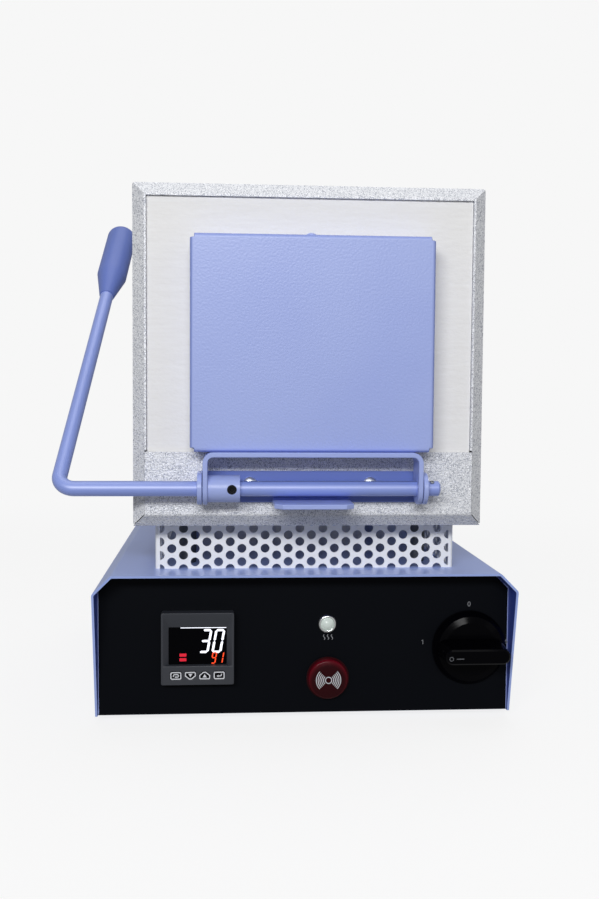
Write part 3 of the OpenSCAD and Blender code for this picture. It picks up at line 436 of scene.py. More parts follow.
FINISHES: dict[str, Finish] = {
    # Light blue epoxy powder on sheet: satin, with an orange peel that shows as soft dapples
    "blue_coat": PowderCoat(
        "light_blue_powder_coat", "#abbaef", 0.36, second="#9dadea", relief=Grain(1.5, 1.5), height=0.14,
        coat=0.25, coat_roughness=0.3, specular=0.4,
    ),
    # The same powder on bars and rod: deeper and smoother, it takes a broad pale streak
    "lever_coat": PowderCoat(
        "mid_blue_powder_coat", "#8b9fe8", 0.44, second="#8398e0", height=0.008,
        coat=1.0, coat_roughness=0.42, specular=1.0,
    ),
    # Silver hammer enamel: pale grey, dark lines among its dimples, and pale flecks of painted glint
    "hammered_coat": HammeredEnamel("silver_hammer_enamel", "#f2f4f9", 0.34, 0.08),
    # White powder on perforated sheet: bright and even
    "white_coat": PowderCoat("white_powder_coat", "#f6f7f8", 0.4, second="#f0f1f3", coat=0.1),
    # Ceramic-fibre board: matt, even chalk white
    "fibre_board": CeramicFibre("ceramic_fibre_board", "#f8f8f8", 0.95, second="#efeeed"),
    # Fired cordierite: sandy and matt
    "hearth_ceramic": GrainedSurface(
        "cordierite_tile", "#e2d8c4", 0.85, second="#cbbda4", relief=Grain(0.9), height=0.05, specular=0.3
    ),
    # Glazed aluminous porcelain: ivory, with a soft shine
    "sheath_ceramic": GrainedSurface(
        "aluminous_porcelain", "#e9e4d8", 0.35, second="#e2dccd", relief=Grain(1.5)
    ),
    # Oxidised iron-chrome-aluminium wire: dull grey brown
    "coil_wire": GrainedSurface(
        "oxidised_resistance_wire", "#6d6761", 0.6, 0.5, second="#4f4a45", relief=Grain(0.7), height=0.02
    ),
    # Polyester overlay, printed black: velvet surface, hardly any shine
    "panel_film": GrainedSurface(
        "black_polyester_overlay", "#05070c", 0.45, second="#07090f", relief=Grain(0.5), height=0.003,
        specular=0.06,
    ),
    # Spark-eroded charcoal ABS: fine grain, soft shine
    "case_plastic": GrainedSurface(
        "charcoal_abs", "#2b2e35", 0.42, second="#30333b", relief=Grain(0.5), height=0.008, specular=0.6
    ),
    # Smoked polycarbonate: almost black until the segments light it
    "window_plastic": GrainedSurface(
        "smoked_polycarbonate", "#020204", 0.12, second="#030305", relief=Grain(8.0), height=0.003,
        gloss=(0.02, 0.02), specular=0.04,
    ),
    # Black silicone rubber keys: matt
    "key_plastic": GrainedSurface("black_silicone_key", "#040507", 0.6, second="#060709", specular=0.08),
    # Chromium plate: bright mirror
    "bezel_chrome": TurnedMetal("chromium_plate", "#eef0f0", 0.2, 1.0, second="#e2e5e5", height=0.001),
    # Opal polycarbonate lens: pale and milky, faintly lit from behind
    "clear_lens": ClearMoulding("opal_polycarbonate", "#dfe9e4", 0.18, clearness=0.25, glow=0.16),
    # Red polycarbonate dome: nearly black from the front, red where the light enters its rim
    "red_lens": ClearMoulding("red_polycarbonate", "#30040a", 0.2, clearness=0.1, specular=0.1),
    # Glass-filled black polyamide: slightly rough
    "black_plastic": GrainedSurface(
        "black_polyamide", "#0c0d0f", 0.5, second="#121316", relief=Grain(0.7), height=0.015, specular=0.15
    ),
    # Phenolic knob: black with a soft polish that shows along its edges
    "knob_plastic": GrainedSurface(
        "black_phenolic_knob", "#020204", 0.14, second="#030305", relief=Grain(0.8), height=0.002,
        specular=0.05,
    ),
    # Moulded rubber: dull black
    "foot_rubber": GrainedSurface(
        "black_rubber", "#1b1b1c", 0.8, second="#242425", relief=Grain(0.8), height=0.03
    ),
    # Zinc plate: pale bluish metal, a little cloudy
    "zinc_steel": TurnedMetal("zinc_plated_steel", "#e2e5e9", 0.3, 1.0, second="#cfd3d8"),
    # Bare drawn steel: grey with tool marks
    "bare_steel": TurnedMetal("bare_drawn_steel", "#b9bcc0", 0.35, 1.0, second="#9c9fa3"),
    # Black oxide on a hardened screw: dark, oily shine
    "black_steel": TurnedMetal("black_oxide_steel", "#1d1e21", 0.4, 0.8, second="#151619"),
    # Extruded aluminium: brushed along its length
    "relay_aluminium": TurnedMetal("extruded_aluminium", "#cfd2d5", 0.38, 1.0, second="#b9bdc1"),
    # Natural polyamide: milky
    "strip_plastic": GrainedSurface(
        "natural_polyamide", "#dcdad0", 0.45, second="#d3d0c4", relief=Grain(1.2)
    ),
    # Brown phenolic: dull, cloudy
    "phenolic": GrainedSurface("brown_phenolic", "#4a3527", 0.4, second="#3c2b20", relief=Grain(1.4)),
}
# The blue powder, deeper and less glossy: the turned grip's own colour, and painted shade on the hinge
# plate's flat front
DEEP_BLUE_AND_PAINTED_SHADE = PowderCoat(
    "deep_blue_powder_coat", "#6a7dc6", 0.4, second="#6478be", coat=0.2, coat_roughness=0.35, specular=0.35
)
# Painted shade: the same powder a tone deeper on the door's folds and flanges, which turn away from the light
PAINTED_SHADE_FOLD_BLUE = PowderCoat("folded_blue_powder_coat", "#8e9edf", 0.45, second="#8797d8", coat=0.1, specular=0.3)
# Painted light: the same powder a little paler on the broad hood, standing in for the light on its top
PAINTED_LIGHT_PALE_BLUE = PowderCoat(
    "pale_blue_powder_coat", "#a9bef9", 0.36, second="#a2b6f4", coat=0.35, coat_roughness=0.25, specular=0.4
)
# Painted shade: the same powder in navy on the hood's unlit inner faces, undersides and side front edges
PAINTED_SHADE_NAVY = PowderCoat("thin_blue_powder_coat", "#4257b4", 0.45, second="#3d52ac", coat=0.05, specular=0.2)
# Painted shade: zinc-plated posts in a dull grey, for the shade inside the plinth, so that they hardly show
# behind its holes
ZINC_IN_PAINTED_SHADE = TurnedMetal("passivated_zinc", "#6a6e75", 0.5, 1.0, second="#5a5e65")
# Enamel inks, screen-printed: matt, off white on the keys and lens, dim grey on the overlay and knob
WHITE_INK, GREY_INK, ENGRAVING_INK = (
    GrainedSurface(name, colour, roughness, second=second, relief=Grain(0.4), height=0.002)
    for name, colour, roughness, second in (
        ("white_screen_ink", "#e6e8ee", 0.55, "#dadce4"),
        ("grey_screen_ink", "#8d8f94", 0.55, "#808287"),
        ("engraving_ink", "#5c5e63", 0.6, "#4c4e53"),
    )
)
# Liquid-crystal segments over a white and an orange backlight, and dimmer red flags
WHITE_SEGMENTS = LitDisplay("white_lit_segments", "#f2f5ff", 0.4, strength=0.95)
ORANGE_SEGMENTS = LitDisplay("orange_lit_segments", "#ff4a1e", 0.4, strength=0.75)
RED_FLAGS = LitDisplay("red_lit_flags", "#e01a34", 0.4, strength=0.3)


@dataclass(frozen=True)
class Box:
    """A node's box at rest, in millimetres."""

    lo: Vector
    hi: Vector

    @classmethod
    def of(cls, node: str) -> "Box":
        """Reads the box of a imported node, by the node's name."""
        lo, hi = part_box(node)
        return cls(lo / MM, hi / MM)

    @property
    def middle(self) -> Vector:
        """The middle of the box's front face."""
        centre = (self.lo + self.hi) / 2
        return Vector((centre.x, self.lo.y, centre.z))


@dataclass
class Workshop:
    """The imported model, and the steps that turn its nodes and new meshes into finished pieces."""

    nodes: dict[str, bpy.types.Object]
    made: int = 0

    def slot_of(self, node: str) -> str:
        """The record's material slot of a node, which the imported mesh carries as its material's name."""
        return self.nodes[node].data.materials[0].name.split(".")[0]

    def body_of(self, node: str) -> str:
        """The body that a node rides on."""
        return self.nodes[node]["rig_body"]

    def dress(self, node: str) -> None:
        """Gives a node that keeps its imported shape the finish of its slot.

        Args:
            node: The node's name.
        """
        finish = FINISHES[self.slot_of(node)].material()
        for held in self.nodes[node].material_slots:
            held.material = finish
        self.made += 1
        LOG.info("%s keeps its shape, in %s", node, finish.name)

    def finish(
        self,
        piece: bpy.types.Object,
        body: str,
        slot: str,
        finish: Finish | None = None,
        replaces: tuple[str, ...] = (),
    ) -> bpy.types.Object:
        """Dresses a new piece, puts it on its body and reports it.

        Args:
            piece: The piece, with its place in its mesh.
            body: The body that it rides on.
            slot: The record's material slot.
            finish: Its finish, if it isn't the slot's own.
            replaces: The nodes that it stands for.

        Returns:
            The same piece.
        """
        piece.data.materials.clear()
        piece.data.materials.append((finish or FINISHES[slot]).material())
        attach(piece, body)
        if replaces:
            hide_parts(*replaces)
        self.made += 1
        LOG.info("%s: %d faces on %s", piece.name, len(piece.data.polygons), body)
        return piece

    def merged_copy(self, node: str) -> bpy.types.Object:
        """Makes an object of a node's triangles, joined into closed solids with flat faces whole.

        Args:
            node: The node to copy.

        Returns:
            The new object.
        """
        mesh = self.nodes[node].data.copy()
        normals = mesh.attributes.get("custom_normal")
        if normals:
            mesh.attributes.remove(normals)
        form = bmesh.new()
        form.from_mesh(mesh)
        bmesh.ops.remove_doubles(form, verts=form.verts, dist=JOIN_WITHIN)
        bmesh.ops.dissolve_degenerate(form, dist=SLIVER, edges=form.edges)
        bmesh.ops.dissolve_limit(
            form,
            angle_limit=FLAT_WITHIN,
            use_dissolve_boundaries=False,
            verts=form.verts,
            edges=form.edges,
        )
        form.to_mesh(mesh)
        form.free()
        return link_object(f"{node}_finished", mesh)

    def soften(
        self,
        node: str,
        width: float = 0.25,
        steps: int = 2,
        sharp: float = 35.0,
        finish: Finish | None = None,
    ) -> bpy.types.Object:
        """Makes a copy of a node whose hard edges are broken, as deburred and coated edges are.

        Args:
            node: The node to copy and replace.
            width: Width of the broken edge, or 0 for crisp edges.
            steps: Faces across it.
            sharp: Smallest angle that counts as an edge.
            finish: Its finish, if it isn't its slot's own.

        Returns:
            The finished piece.
        """
        piece = self.merged_copy(node)
        piece.data.shade_smooth()
        piece.data.set_sharp_from_angle(angle=math.radians(sharp))
        if width:
            bevel = piece.modifiers.new("edges", "BEVEL")
            bevel.width = width * MM
            bevel.segments = steps
            bevel.limit_method = "ANGLE"
            bevel.angle_limit = math.radians(sharp)
            bevel.use_clamp_overlap = False
            weights = piece.modifiers.new("flat_faces", "WEIGHTED_NORMAL")
            weights.mode = "FACE_AREA"
            weights.weight = 100
            weights.keep_sharp = True
            settle(piece)
        return self.finish(piece, self.body_of(node), self.slot_of(node), finish, (node,))


def link_object(name: str, data: bpy.types.ID) -> bpy.types.Object:
    """Makes an object and puts it in the scene.

    Args:
        name: The object's name.
        data: Its mesh, lamp or camera.

    Returns:
        The object.
    """
    made = bpy.data.objects.new(name, data)
    bpy.context.scene.collection.objects.link(made)
    return made


def settle(piece: bpy.types.Object) -> None:
    """Turns what a piece's modifiers make into its plain mesh, and removes the modifiers.

    Args:
        piece: The piece.
    """
    evaluated = piece.evaluated_get(bpy.context.evaluated_depsgraph_get())
    mesh = bpy.data.meshes.new_from_object(evaluated)
    piece.modifiers.clear()
    piece.data = mesh
    mesh.name = piece.name


def recoat(piece: bpy.types.Object, finish: Finish, chosen: Callable[[bpy.types.MeshPolygon], bool]) -> None:
    """Gives some faces of a finished piece another finish.

    Args:
        piece: The piece.
        finish: The other finish.
        chosen: Tells whether a face gets it.
    """
    piece.data.materials.append(finish.material())
    for face in piece.data.polygons:
        if chosen(face):
            face.material_index = 1


def mesh_from(name: str, points: list[Vector], faces: list[tuple[int, ...]]) -> bpy.types.Mesh:
    """Makes a mesh from points in millimetres.

    Args:
        name: The mesh's name.
        points: Corner points.
        faces: Corner numbers of each face.

    Returns:
        The mesh, in metres, with its faces pointing outwards.
    """
    mesh = bpy.data.meshes.new(name)
    mesh.from_pydata([p * MM for p in points], [], faces)
    form = bmesh.new()
    form.from_mesh(mesh)
    bmesh.ops.remove_doubles(form, verts=form.verts, dist=JOIN_WITHIN)
    bmesh.ops.recalc_face_normals(form, faces=form.faces)
    form.to_mesh(mesh)
    form.free()
    return mesh


@dataclass
class Print:
    """Ink or lit shapes drawn in the front view, each a thin solid that stands on its carrier.

    `at` is the drawing's origin, on the carrier's front face.
    """

    at: Vector
    thick: float = 0.05
    points: list[Vector] = field(default_factory=list)
    faces: list[tuple[int, ...]] = field(default_factory=list)

    def place(self, outline: Outline, back: float = 0.0) -> int:
        """Adds an outline's points at the ink's front and back.

        Args:
            outline: Points across and up from the origin.
            back: How far behind the carrier's front-most point this stretch of its face lies.

        Returns:
            The number of the first point.
        """
        start = len(self.points)
        for y in (back - self.thick, back + self.thick):
            self.points += [self.at + Vector((x, y, z)) for x, z in outline]
        return start

    def fill(self, outline: Outline, back: float = 0.0) -> None:
        """Adds a filled shape.

        Args:
            outline: Its points, anticlockwise.
            back: As for place.
        """
        start = self.place(outline, back)
        n = len(outline)
        self.faces.append(tuple(range(start, start + n)))
        self.faces.append(tuple(range(start + 2 * n - 1, start + n - 1, -1)))
        for i in range(n):
            j = (i + 1) % n
            self.faces.append((start + i, start + n + i, start + n + j, start + j))

    def ring(self, outer: Outline, inner: Outline, back: float = 0.0) -> None:
        """Adds the band between two closed outlines of equally many points.

        Args:
            outer: The outer outline, anticlockwise.
            inner: The inner one.
            back: As for place.
        """
        n = len(outer)
        a = self.place(outer, back)
        b = self.place(inner, back)
        for i in range(n):
            j = (i + 1) % n
            self.faces.append((a + i, a + j, b + j, b + i))
            self.faces.append((a + n + i, b + n + i, b + n + j, a + n + j))
            self.faces.append((a + i, a + n + i, a + n + j, a + j))
            self.faces.append((b + i, b + j, b + n + j, b + n + i))

    def line(self, path: Outline, width: float, back: float = 0.0) -> None:
        """Adds a line of even width along an open path.

        Args:
            path: Its middle line.
            width: Its width.
            back: As for place.
        """
        left, right = [], []
        for i, point in enumerate(path):
            here = Vector(point)
            ahead = Vector(path[min(i + 1, len(path) - 1)]) - Vector(path[max(i - 1, 0)])
            aside = Vector((-ahead.y, ahead.x)).normalized() * (width / 2)
            left.append(tuple(here + aside))
            right.append(tuple(here - aside))
        self.fill(left + right[::-1], back)

    def build(self, name: str) -> bpy.types.Object:
        """Makes the drawing's object."""
        return link_object(name, mesh_from(name, self.points, self.faces))


def arc(radius: float, start: float, end: float, steps: int, centre: Pair = (0, 0)) -> Outline:
    """Finds points along an arc, both ends included.

    Args:
        radius: Its radius.
        start: First angle from the right, anticlockwise.
        end: Last angle.
        steps: Stretches between the points.
        centre: Its centre.

    Returns:
        The points.
    """
    angles = [math.radians(start + (end - start) * i / steps) for i in range(steps + 1)]
    return [(centre[0] + radius * math.cos(a), centre[1] + radius * math.sin(a)) for a in angles]


def circle(radius: float, steps: int, centre: Pair = (0, 0)) -> Outline:
    """Draws a closed circle of so many sides, anticlockwise from the right."""
    return arc(radius, 0, 360 - 360 / steps, steps - 1, centre)


def grown(outline: Outline, by: float, sharpest: float = 0.3) -> Outline:
    """Moves each point of a closed, convex outline outwards, keeping its sides parallel.

    Args:
        outline: Points in anticlockwise order.
        by: Distance, negative to shrink.
        sharpest: Least cosine of half a corner's turn, which caps how far its point moves.

    Returns:
        The new outline.
    """
    moved = []
    for i, point in enumerate(outline):
        before = (Vector(point) - Vector(outline[i - 1])).normalized()
        after = (Vector(outline[(i + 1) % len(outline)]) - Vector(point)).normalized()
        out = Vector((before.y + after.y, -before.x - after.x)).normalized()
        spread = max(out.dot(Vector((before.y, -before.x))), sharpest)
        moved.append(tuple(Vector(point) + out * (by / spread)))
    return moved


def block_outline(width: float, height: float, round_by: float, steps: int = 5) -> Outline:
    """Draws a rectangle with round corners, centred, anticlockwise.

    Args:
        width: Its width.
        height: Its height.
        round_by: The corners' radius.
        steps: Stretches in each corner.

    Returns:
        Its outline.
    """
    x, z = width / 2 - round_by, height / 2 - round_by
    corners = ((x, z, 0), (-x, z, 90), (-x, -z, 180), (x, -z, 270))
    return [p for cx, cz, turn in corners for p in arc(round_by, turn, turn + 90, steps, (cx, cz))]


@dataclass
class RepeatTree:
    """A Geometry Nodes tree with named inputs, run on one object and then turned into plain mesh."""

    name: str
    inputs: dict[str, tuple[str, object]]
    tree: Tree = field(init=False)
    inlet: Node = field(init=False)

    def __post_init__(self) -> None:
        """Opens the tree with its named inputs."""
        self.tree = bpy.data.node_groups.new(self.name, "GeometryNodeTree")
        sockets = self.tree.interface
        for way in ("OUTPUT", "INPUT"):
            sockets.new_socket("Geometry", in_out=way, socket_type="NodeSocketGeometry")
        for name, (kind, _) in self.inputs.items():
            sockets.new_socket(name, in_out="INPUT", socket_type=kind)
        self.inlet = add_node(self.tree, "NodeGroupInput")

    def add(self, kind: str, links: Links | None = None, **settings: object) -> Node:
        """Adds a node to this tree."""
        return add_node(self.tree, kind, links, **settings)

    def input(self, name: str) -> Socket:
        """The socket of a named input."""
        return self.inlet.outputs[name]

    def attribute(self, name: str, kind: str) -> Socket:
        """The value that the object's points carry under a name."""
        return self.add("GeometryNodeInputNamedAttribute", {"Name": name}, data_type=kind).outputs[0]

    def close(self, geometry: Socket, finish: Finish) -> None:
        """Ends the tree: instances become real and get their material.

        Args:
            geometry: What the tree has made.
            finish: Its finish.
        """
        real = self.add("GeometryNodeRealizeInstances", {"Geometry": geometry})
        dressed = self.add(
            "GeometryNodeSetMaterial", {"Geometry": real.outputs[0], "Material": finish.material()}
        )
        self.add("NodeGroupOutput", {"Geometry": dressed.outputs[0]})

    def run(self, carrier: bpy.types.Object) -> bpy.types.Object:
        """Runs the tree on an object and leaves the result as its mesh.

        Args:
            carrier: The object.

        Returns:
            The same object.
        """
        modifier = carrier.modifiers.new(self.name, "NODES")
        modifier.node_group = self.tree
        for item in self.tree.interface.items_tree:
            if item.in_out == "INPUT" and item.name in self.inputs:
                modifier[item.identifier] = self.inputs[item.name][1]
        settle(carrier)
        return carrier


@dataclass
class CrossRecess:
    """Cross recesses of pan-head screws, as fractions of each head's diameter.

    `round_within` is how far a head's two widths may differ, and `sharp` the least angle of an edge.
    """

    arm: float = 0.56
    slot: float = 0.15
    depth: float = 0.36
    round_within: float = 0.03
    sharp: float = 30.0

    def heads(self, shop: Workshop, node: str, facings: list[Vector]) -> list[tuple[Vector, Vector, float]]:
        """Finds the crown, the facing and the diameter of each screw head of a node.

        Args:
            shop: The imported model.
            node: A node of separate screws.
            facings: Directions that its heads may face.

        Returns:
            One entry for each head.
        """
        found = []
        for lo, hi in islands(shop.nodes[node].data):
            size = hi - lo
            for facing in facings:
                axis = max(range(3), key=lambda i: abs(facing[i]))
                across = [size[i] for i in range(3) if i != axis]
                is_round = abs(across[0] - across[1]) < self.round_within * across[0]
                outward = len(facings) == 1 or (lo + hi)[axis] * facing[axis] > 0
                if is_round and outward:
                    crown = (lo + hi) / 2
                    crown[axis] = hi[axis] if facing[axis] > 0 else lo[axis]
                    found.append((crown, facing, min(across)))
        return found

    def cutters(self, repeat: RepeatTree) -> Node:
        """Adds two crossed bars at every screw place, turned and sized as its head is.

        Args:
            repeat: The tree that gets them.

        Returns:
            The node that puts them there.
        """
        cross = repeat.add("GeometryNodeMeshBoolean", operation="UNION", solver="EXACT")
        for sides in (("Arm Length", "Slot Width", "Depth"), ("Slot Width", "Arm Length", "Depth")):
            arm = repeat.add("ShaderNodeCombineXYZ", {i: repeat.input(side) for i, side in enumerate(sides)})
            box = repeat.add("GeometryNodeMeshCube", {"Size": arm.outputs[0]})
            feed(repeat.tree, cross, {1: box.outputs[0]})
        points = repeat.add("GeometryNodeObjectInfo", {"Object": repeat.input("Screw Places")})
        turn = repeat.add(
            "FunctionNodeAlignRotationToVector",
            {"Vector": repeat.attribute("facing", "FLOAT_VECTOR")},
            axis="Z",
        )
        return repeat.add(
            "GeometryNodeInstanceOnPoints",
            {
                "Points": points.outputs["Geometry"],
                "Instance": cross.outputs[0],
                "Rotation": turn.outputs[0],
                "Scale": repeat.attribute("size", "FLOAT"),
            },
        )

    def cut(self, shop: Workshop, node: str, facings: list[Vector]) -> bpy.types.Object:
        """Makes a copy of a node of screws with a cross recess in every head.

        Args:
            shop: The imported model.
            node: The node to copy and replace.
            facings: Directions that its heads may face.

        Returns:
            The finished piece.
        """
        heads = self.heads(shop, node, facings)
        crowns = mesh_from(f"{node}_places", [crown for crown, _, _ in heads], [])
        places = link_object(crowns.name, crowns)
        facing = places.data.attributes.new("facing", "FLOAT_VECTOR", "POINT")
        size = places.data.attributes.new("size", "FLOAT", "POINT")
        for i, (_, direction, diameter) in enumerate(heads):
            facing.data[i].vector = direction
            size.data[i].value = diameter * MM
        repeat = RepeatTree(
            f"{node}_recesses",
            {
                "Screw Places": ("NodeSocketObject", places),
                "Arm Length": ("NodeSocketFloat", self.arm),
                "Slot Width": ("NodeSocketFloat", self.slot),
                "Depth": ("NodeSocketFloat", self.depth),
            },
        )
        real = repeat.add("GeometryNodeRealizeInstances", {"Geometry": self.cutters(repeat).outputs[0]})
        cut = repeat.add(
            "GeometryNodeMeshBoolean",
            {0: repeat.input("Geometry"), 1: real.outputs[0]},
            operation="DIFFERENCE",
            solver="EXACT",
        )
        repeat.close(cut.outputs[0], FINISHES[shop.slot_of(node)])
        piece = repeat.run(shop.merged_copy(node))
        piece.data.shade_smooth()
        piece.data.set_sharp_from_angle(angle=math.radians(self.sharp))
        bpy.data.objects.remove(places)
        return shop.finish(piece, shop.body_of(node), shop.slot_of(node), replaces=(node,))


def islands(mesh: bpy.types.Mesh) -> list[tuple[Vector, Vector]]:
    """Finds the box of each separate solid of a mesh.

    Args:
        mesh: The mesh.

    Returns:
        The lowest and highest corner of each, in millimetres.
    """
    form = bmesh.new()
    form.from_mesh(mesh)
    bmesh.ops.remove_doubles(form, verts=form.verts, dist=JOIN_WITHIN)
    left = set(form.verts)
    boxes = []
    while left:
        found, edge = [], [left.pop()]
        while edge:
            vertex = edge.pop()
            found.append(vertex.co / MM)
            near = [e.other_vert(vertex) for e in vertex.link_edges]
            edge += [v for v in near if v in left]
            left.difference_update(near)
        corners = ([pick(p[i] for p in found) for i in range(3)] for pick in (min, max))
        boxes.append(tuple(Vector(corner) for corner in corners))
    form.free()
    return sorted(boxes, key=lambda pair: tuple(pair[0]))


@dataclass(frozen=True)
class SoftBox:
    """An area lamp that faces the middle of the furnace. Shiny surfaces show it if it is mirrored."""

    name: str
    at: Triple
    size: Pair
    watts: float
    mirrored: bool = True
    aim: Triple = (0.0, 0.0, 200.0)

    def build(self) -> None:
        """Makes the lamp."""
        data = bpy.data.lights.new(self.name, "AREA")
        data.shape = "RECTANGLE"
        data.size, data.size_y = (side * MM for side in self.size)
        data.energy = self.watts
        lamp = link_object(self.name, data)
        lamp.location = Vector(self.at) * MM
        lamp.rotation_euler = (Vector(self.aim) - Vector(self.at)).to_track_quat("-Z", "Y").to_euler()
        lamp.visible_glossy = self.mirrored


@dataclass
class Studio:
    """Camera at the photograph's view, soft lamps, pale floor and white surroundings.

    Yaw, pitch and roll are radians. The floor fades into the background from `fade_from` to `fade_to`.
    """

    camera_at: Triple = (-54.24, -846.97, 225.66)
    yaw: float = 0.0721
    pitch: float = -0.0617
    roll: float = -0.0069
    lens: float = 41.33
    sensor: float = 36.0
    background: str = "#f7f7f7"
    floor_lit: str = "#f0f0f0"
    floor_bounce: str = "#747474"
    floor_size: float = 6000.0
    shadow_faintness: float = 0.8
    near_glow: float = 1.1
    fade_from: float = 450.0
    fade_to: float = 1300.0
    ambient: float = 0.2
    mirrored: float = 0.4
    lamps: tuple[SoftBox, ...] = (
        SoftBox("key", (-370, -2010, 950), (1400, 320), 27.5),
        SoftBox("fill", (1300, -1100, 700), (900, 900), 0.7),
        SoftBox("top", (0, -60, 1700), (1200, 1200), 6.0),
        SoftBox("back", (600, 1500, 900), (1100, 1100), 5.0, mirrored=False),
    )

    def build(self) -> None:
        """Makes the camera, the lamps, the floor and the world."""
        scene = bpy.context.scene
        scene.view_settings.view_transform = "Standard"
        self.make_camera(scene)
        for lamp in self.lamps:
            lamp.build()
        self.make_floor()
        self.make_world(scene)

    def make_camera(self, scene: bpy.types.Scene) -> None:
        """Makes the camera and turns it by yaw, pitch and roll.

        Args:
            scene: The scene that it films.
        """
        data = bpy.data.cameras.new("camera")
        data.lens = self.lens
        data.sensor_width = data.sensor_height = self.sensor
        camera = link_object("camera", data)
        turn = (
            Matrix.Rotation(-self.yaw, 3, "Z")
            @ Matrix.Rotation(self.pitch, 3, "X")
            @ Matrix.Rotation(self.roll, 3, "Y")
        )
        right, forward, up = (turn.col[i] for i in range(3))
        facing = Matrix((right, up, -forward)).transposed().to_4x4()
        camera.matrix_world = Matrix.Translation(Vector(self.camera_at) * MM) @ facing
        scene.camera = camera

    def make_floor(self) -> None:
        """Makes a floor that keeps a faint shadow near the furnace and fades into the background."""
        half = self.floor_size / 2
        corners = [Vector((x, y, 0)) for x, y in ((-half, -half), (half, -half), (half, half), (-half, half))]
        floor = link_object("floor", mesh_from("floor", corners, [(0, 1, 2, 3)]))
        material = bpy.data.materials.new("pale_floor")
        material.use_nodes = True
        tree = material.node_tree
        tree.nodes.clear()
        lit, bounce = (
            add_node(tree, "ShaderNodeBsdfDiffuse", {"Color": linear(colour)})
            for colour in (self.floor_lit, self.floor_bounce)
        )
        near, far, mirrored = (
            add_node(tree, "ShaderNodeEmission", {"Color": linear(self.background), "Strength": strength})
            for strength in (self.near_glow, 1.0, self.mirrored)
        )
        place = add_node(tree, "ShaderNodeTexCoord")
        distance = add_node(tree, "ShaderNodeVectorMath", {0: place.outputs["Object"]}, operation="LENGTH")
        fade = add_node(
            tree,
            "ShaderNodeMapRange",
            {0: distance.outputs["Value"], 1: self.fade_from * MM, 2: self.fade_to * MM},
            interpolation_type="SMOOTHSTEP",
        )
        path = add_node(tree, "ShaderNodeLightPath")
        shown = lit
        for share, over in (
            (self.shadow_faintness, near),
            (fade.outputs[0], far),
            (path.outputs["Is Glossy Ray"], mirrored),
            (path.outputs["Is Diffuse Ray"], bounce),
        ):
            shown = add_node(
                tree, "ShaderNodeMixShader", {0: share, 1: shown.outputs[0], 2: over.outputs[0]}
            )
        add_node(tree, "ShaderNodeOutputMaterial", {"Surface": shown.outputs[0]})
        floor.data.materials.append(material)

    def make_world(self, scene: bpy.types.Scene) -> None:
        """Makes surroundings that are white to the eye, dimmer in reflections and dimmest as a light.

        Args:
            scene: The scene that they surround.
        """
        world = bpy.data.worlds.new("studio")
        world.use_nodes = True
        tree = world.node_tree
        tree.nodes.clear()
        path = add_node(tree, "ShaderNodeLightPath")
        strength = 1.0
        for ray, level in (("Is Glossy Ray", self.mirrored), ("Is Diffuse Ray", self.ambient)):
            chosen = add_node(tree, "ShaderNodeMapRange", {0: path.outputs[ray], 3: strength, 4: level})
            strength = chosen.outputs[0]
        glow = add_node(
            tree, "ShaderNodeBackground", {"Color": linear(self.background), "Strength": strength}
        )
        add_node(tree, "ShaderNodeOutputWorld", {"Surface": glow.outputs[0]})
        scene.world = world


@dataclass
class Base:
    """Tray, hood, feet, screws, and what the closed housing holds.

    `side_edge_from` is the distance from the middle past which the hood's front edges are its sides',
    and `facing` is the least cosine at which a face counts as looking in a direction.
    """

    tray_edge: float = 0.3
    side_edge_from: float = 137.0
    facing: float = 0.5
    screws: dict[str, tuple[Triple, ...]] = field(
        default_factory=lambda: {
            "housing_screws": ((1, 0, 0), (-1, 0, 0), (0, 1, 0)),
            "foot_screws": ((0, 0, -1),),
        }
    )
    inside: tuple[str, ...] = (
        "cable_gland",
        "fuse_holder",
        "rubber_feet",
        "standoff_posts",
        "post_bolts",
        "panel_nuts",
        "power_relay",
        "terminal_strip",
        "regulator",
    )

    def build(self, shop: Workshop) -> None:
        """Builds the base.

        Args:
            shop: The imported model.
        """
        shop.soften("base_tray", self.tray_edge)
        self.paint_shade_inside(shop.soften("base_hood", 0, finish=PAINTED_LIGHT_PALE_BLUE))
        # Painted shade: the standoff posts inside the plinth take the dull grey zinc
        for name in self.inside:
            shop.soften(name, finish=ZINC_IN_PAINTED_SHADE if name == "standoff_posts" else None)
        for name, facings in self.screws.items():
            CrossRecess().cut(shop, name, [Vector(facing) for facing in facings])

    def paint_shade_inside(self, hood: bpy.types.Object) -> None:
        """Paints shade on the inner faces, undersides and side front edges of the hood's overhang, with a
        navy copy of its coat.

        Args:
            hood: The finished hood.
        """
        panel = Box.of("panel_overlay")

        def unlit(face: bpy.types.MeshPolygon) -> bool:
            """Tells whether a face looks inwards or down, or is a side wall's front edge.

            Args:
                face: A face of the hood.

            Returns:
                Whether it gets the painted shade.
            """
            aside = face.center.x / MM - panel.middle.x
            inward = -face.normal.x * math.copysign(1.0, aside)
            front = min(hood.data.vertices[corner].co.y for corner in face.vertices) / MM
            edge_on = abs(aside) > self.side_edge_from and -face.normal.y > self.facing
            return front < panel.hi.y and (max(inward, -face.normal.z) > self.facing or edge_on)

        recoat(hood, PAINTED_SHADE_NAVY, unlit)


class Icon(Enum):
    """Drawings on the controller's keys."""

    LOOP = "key_cycle"
    DOWN = "key_down"
    UP = "key_up"
    ENTER = "key_enter"


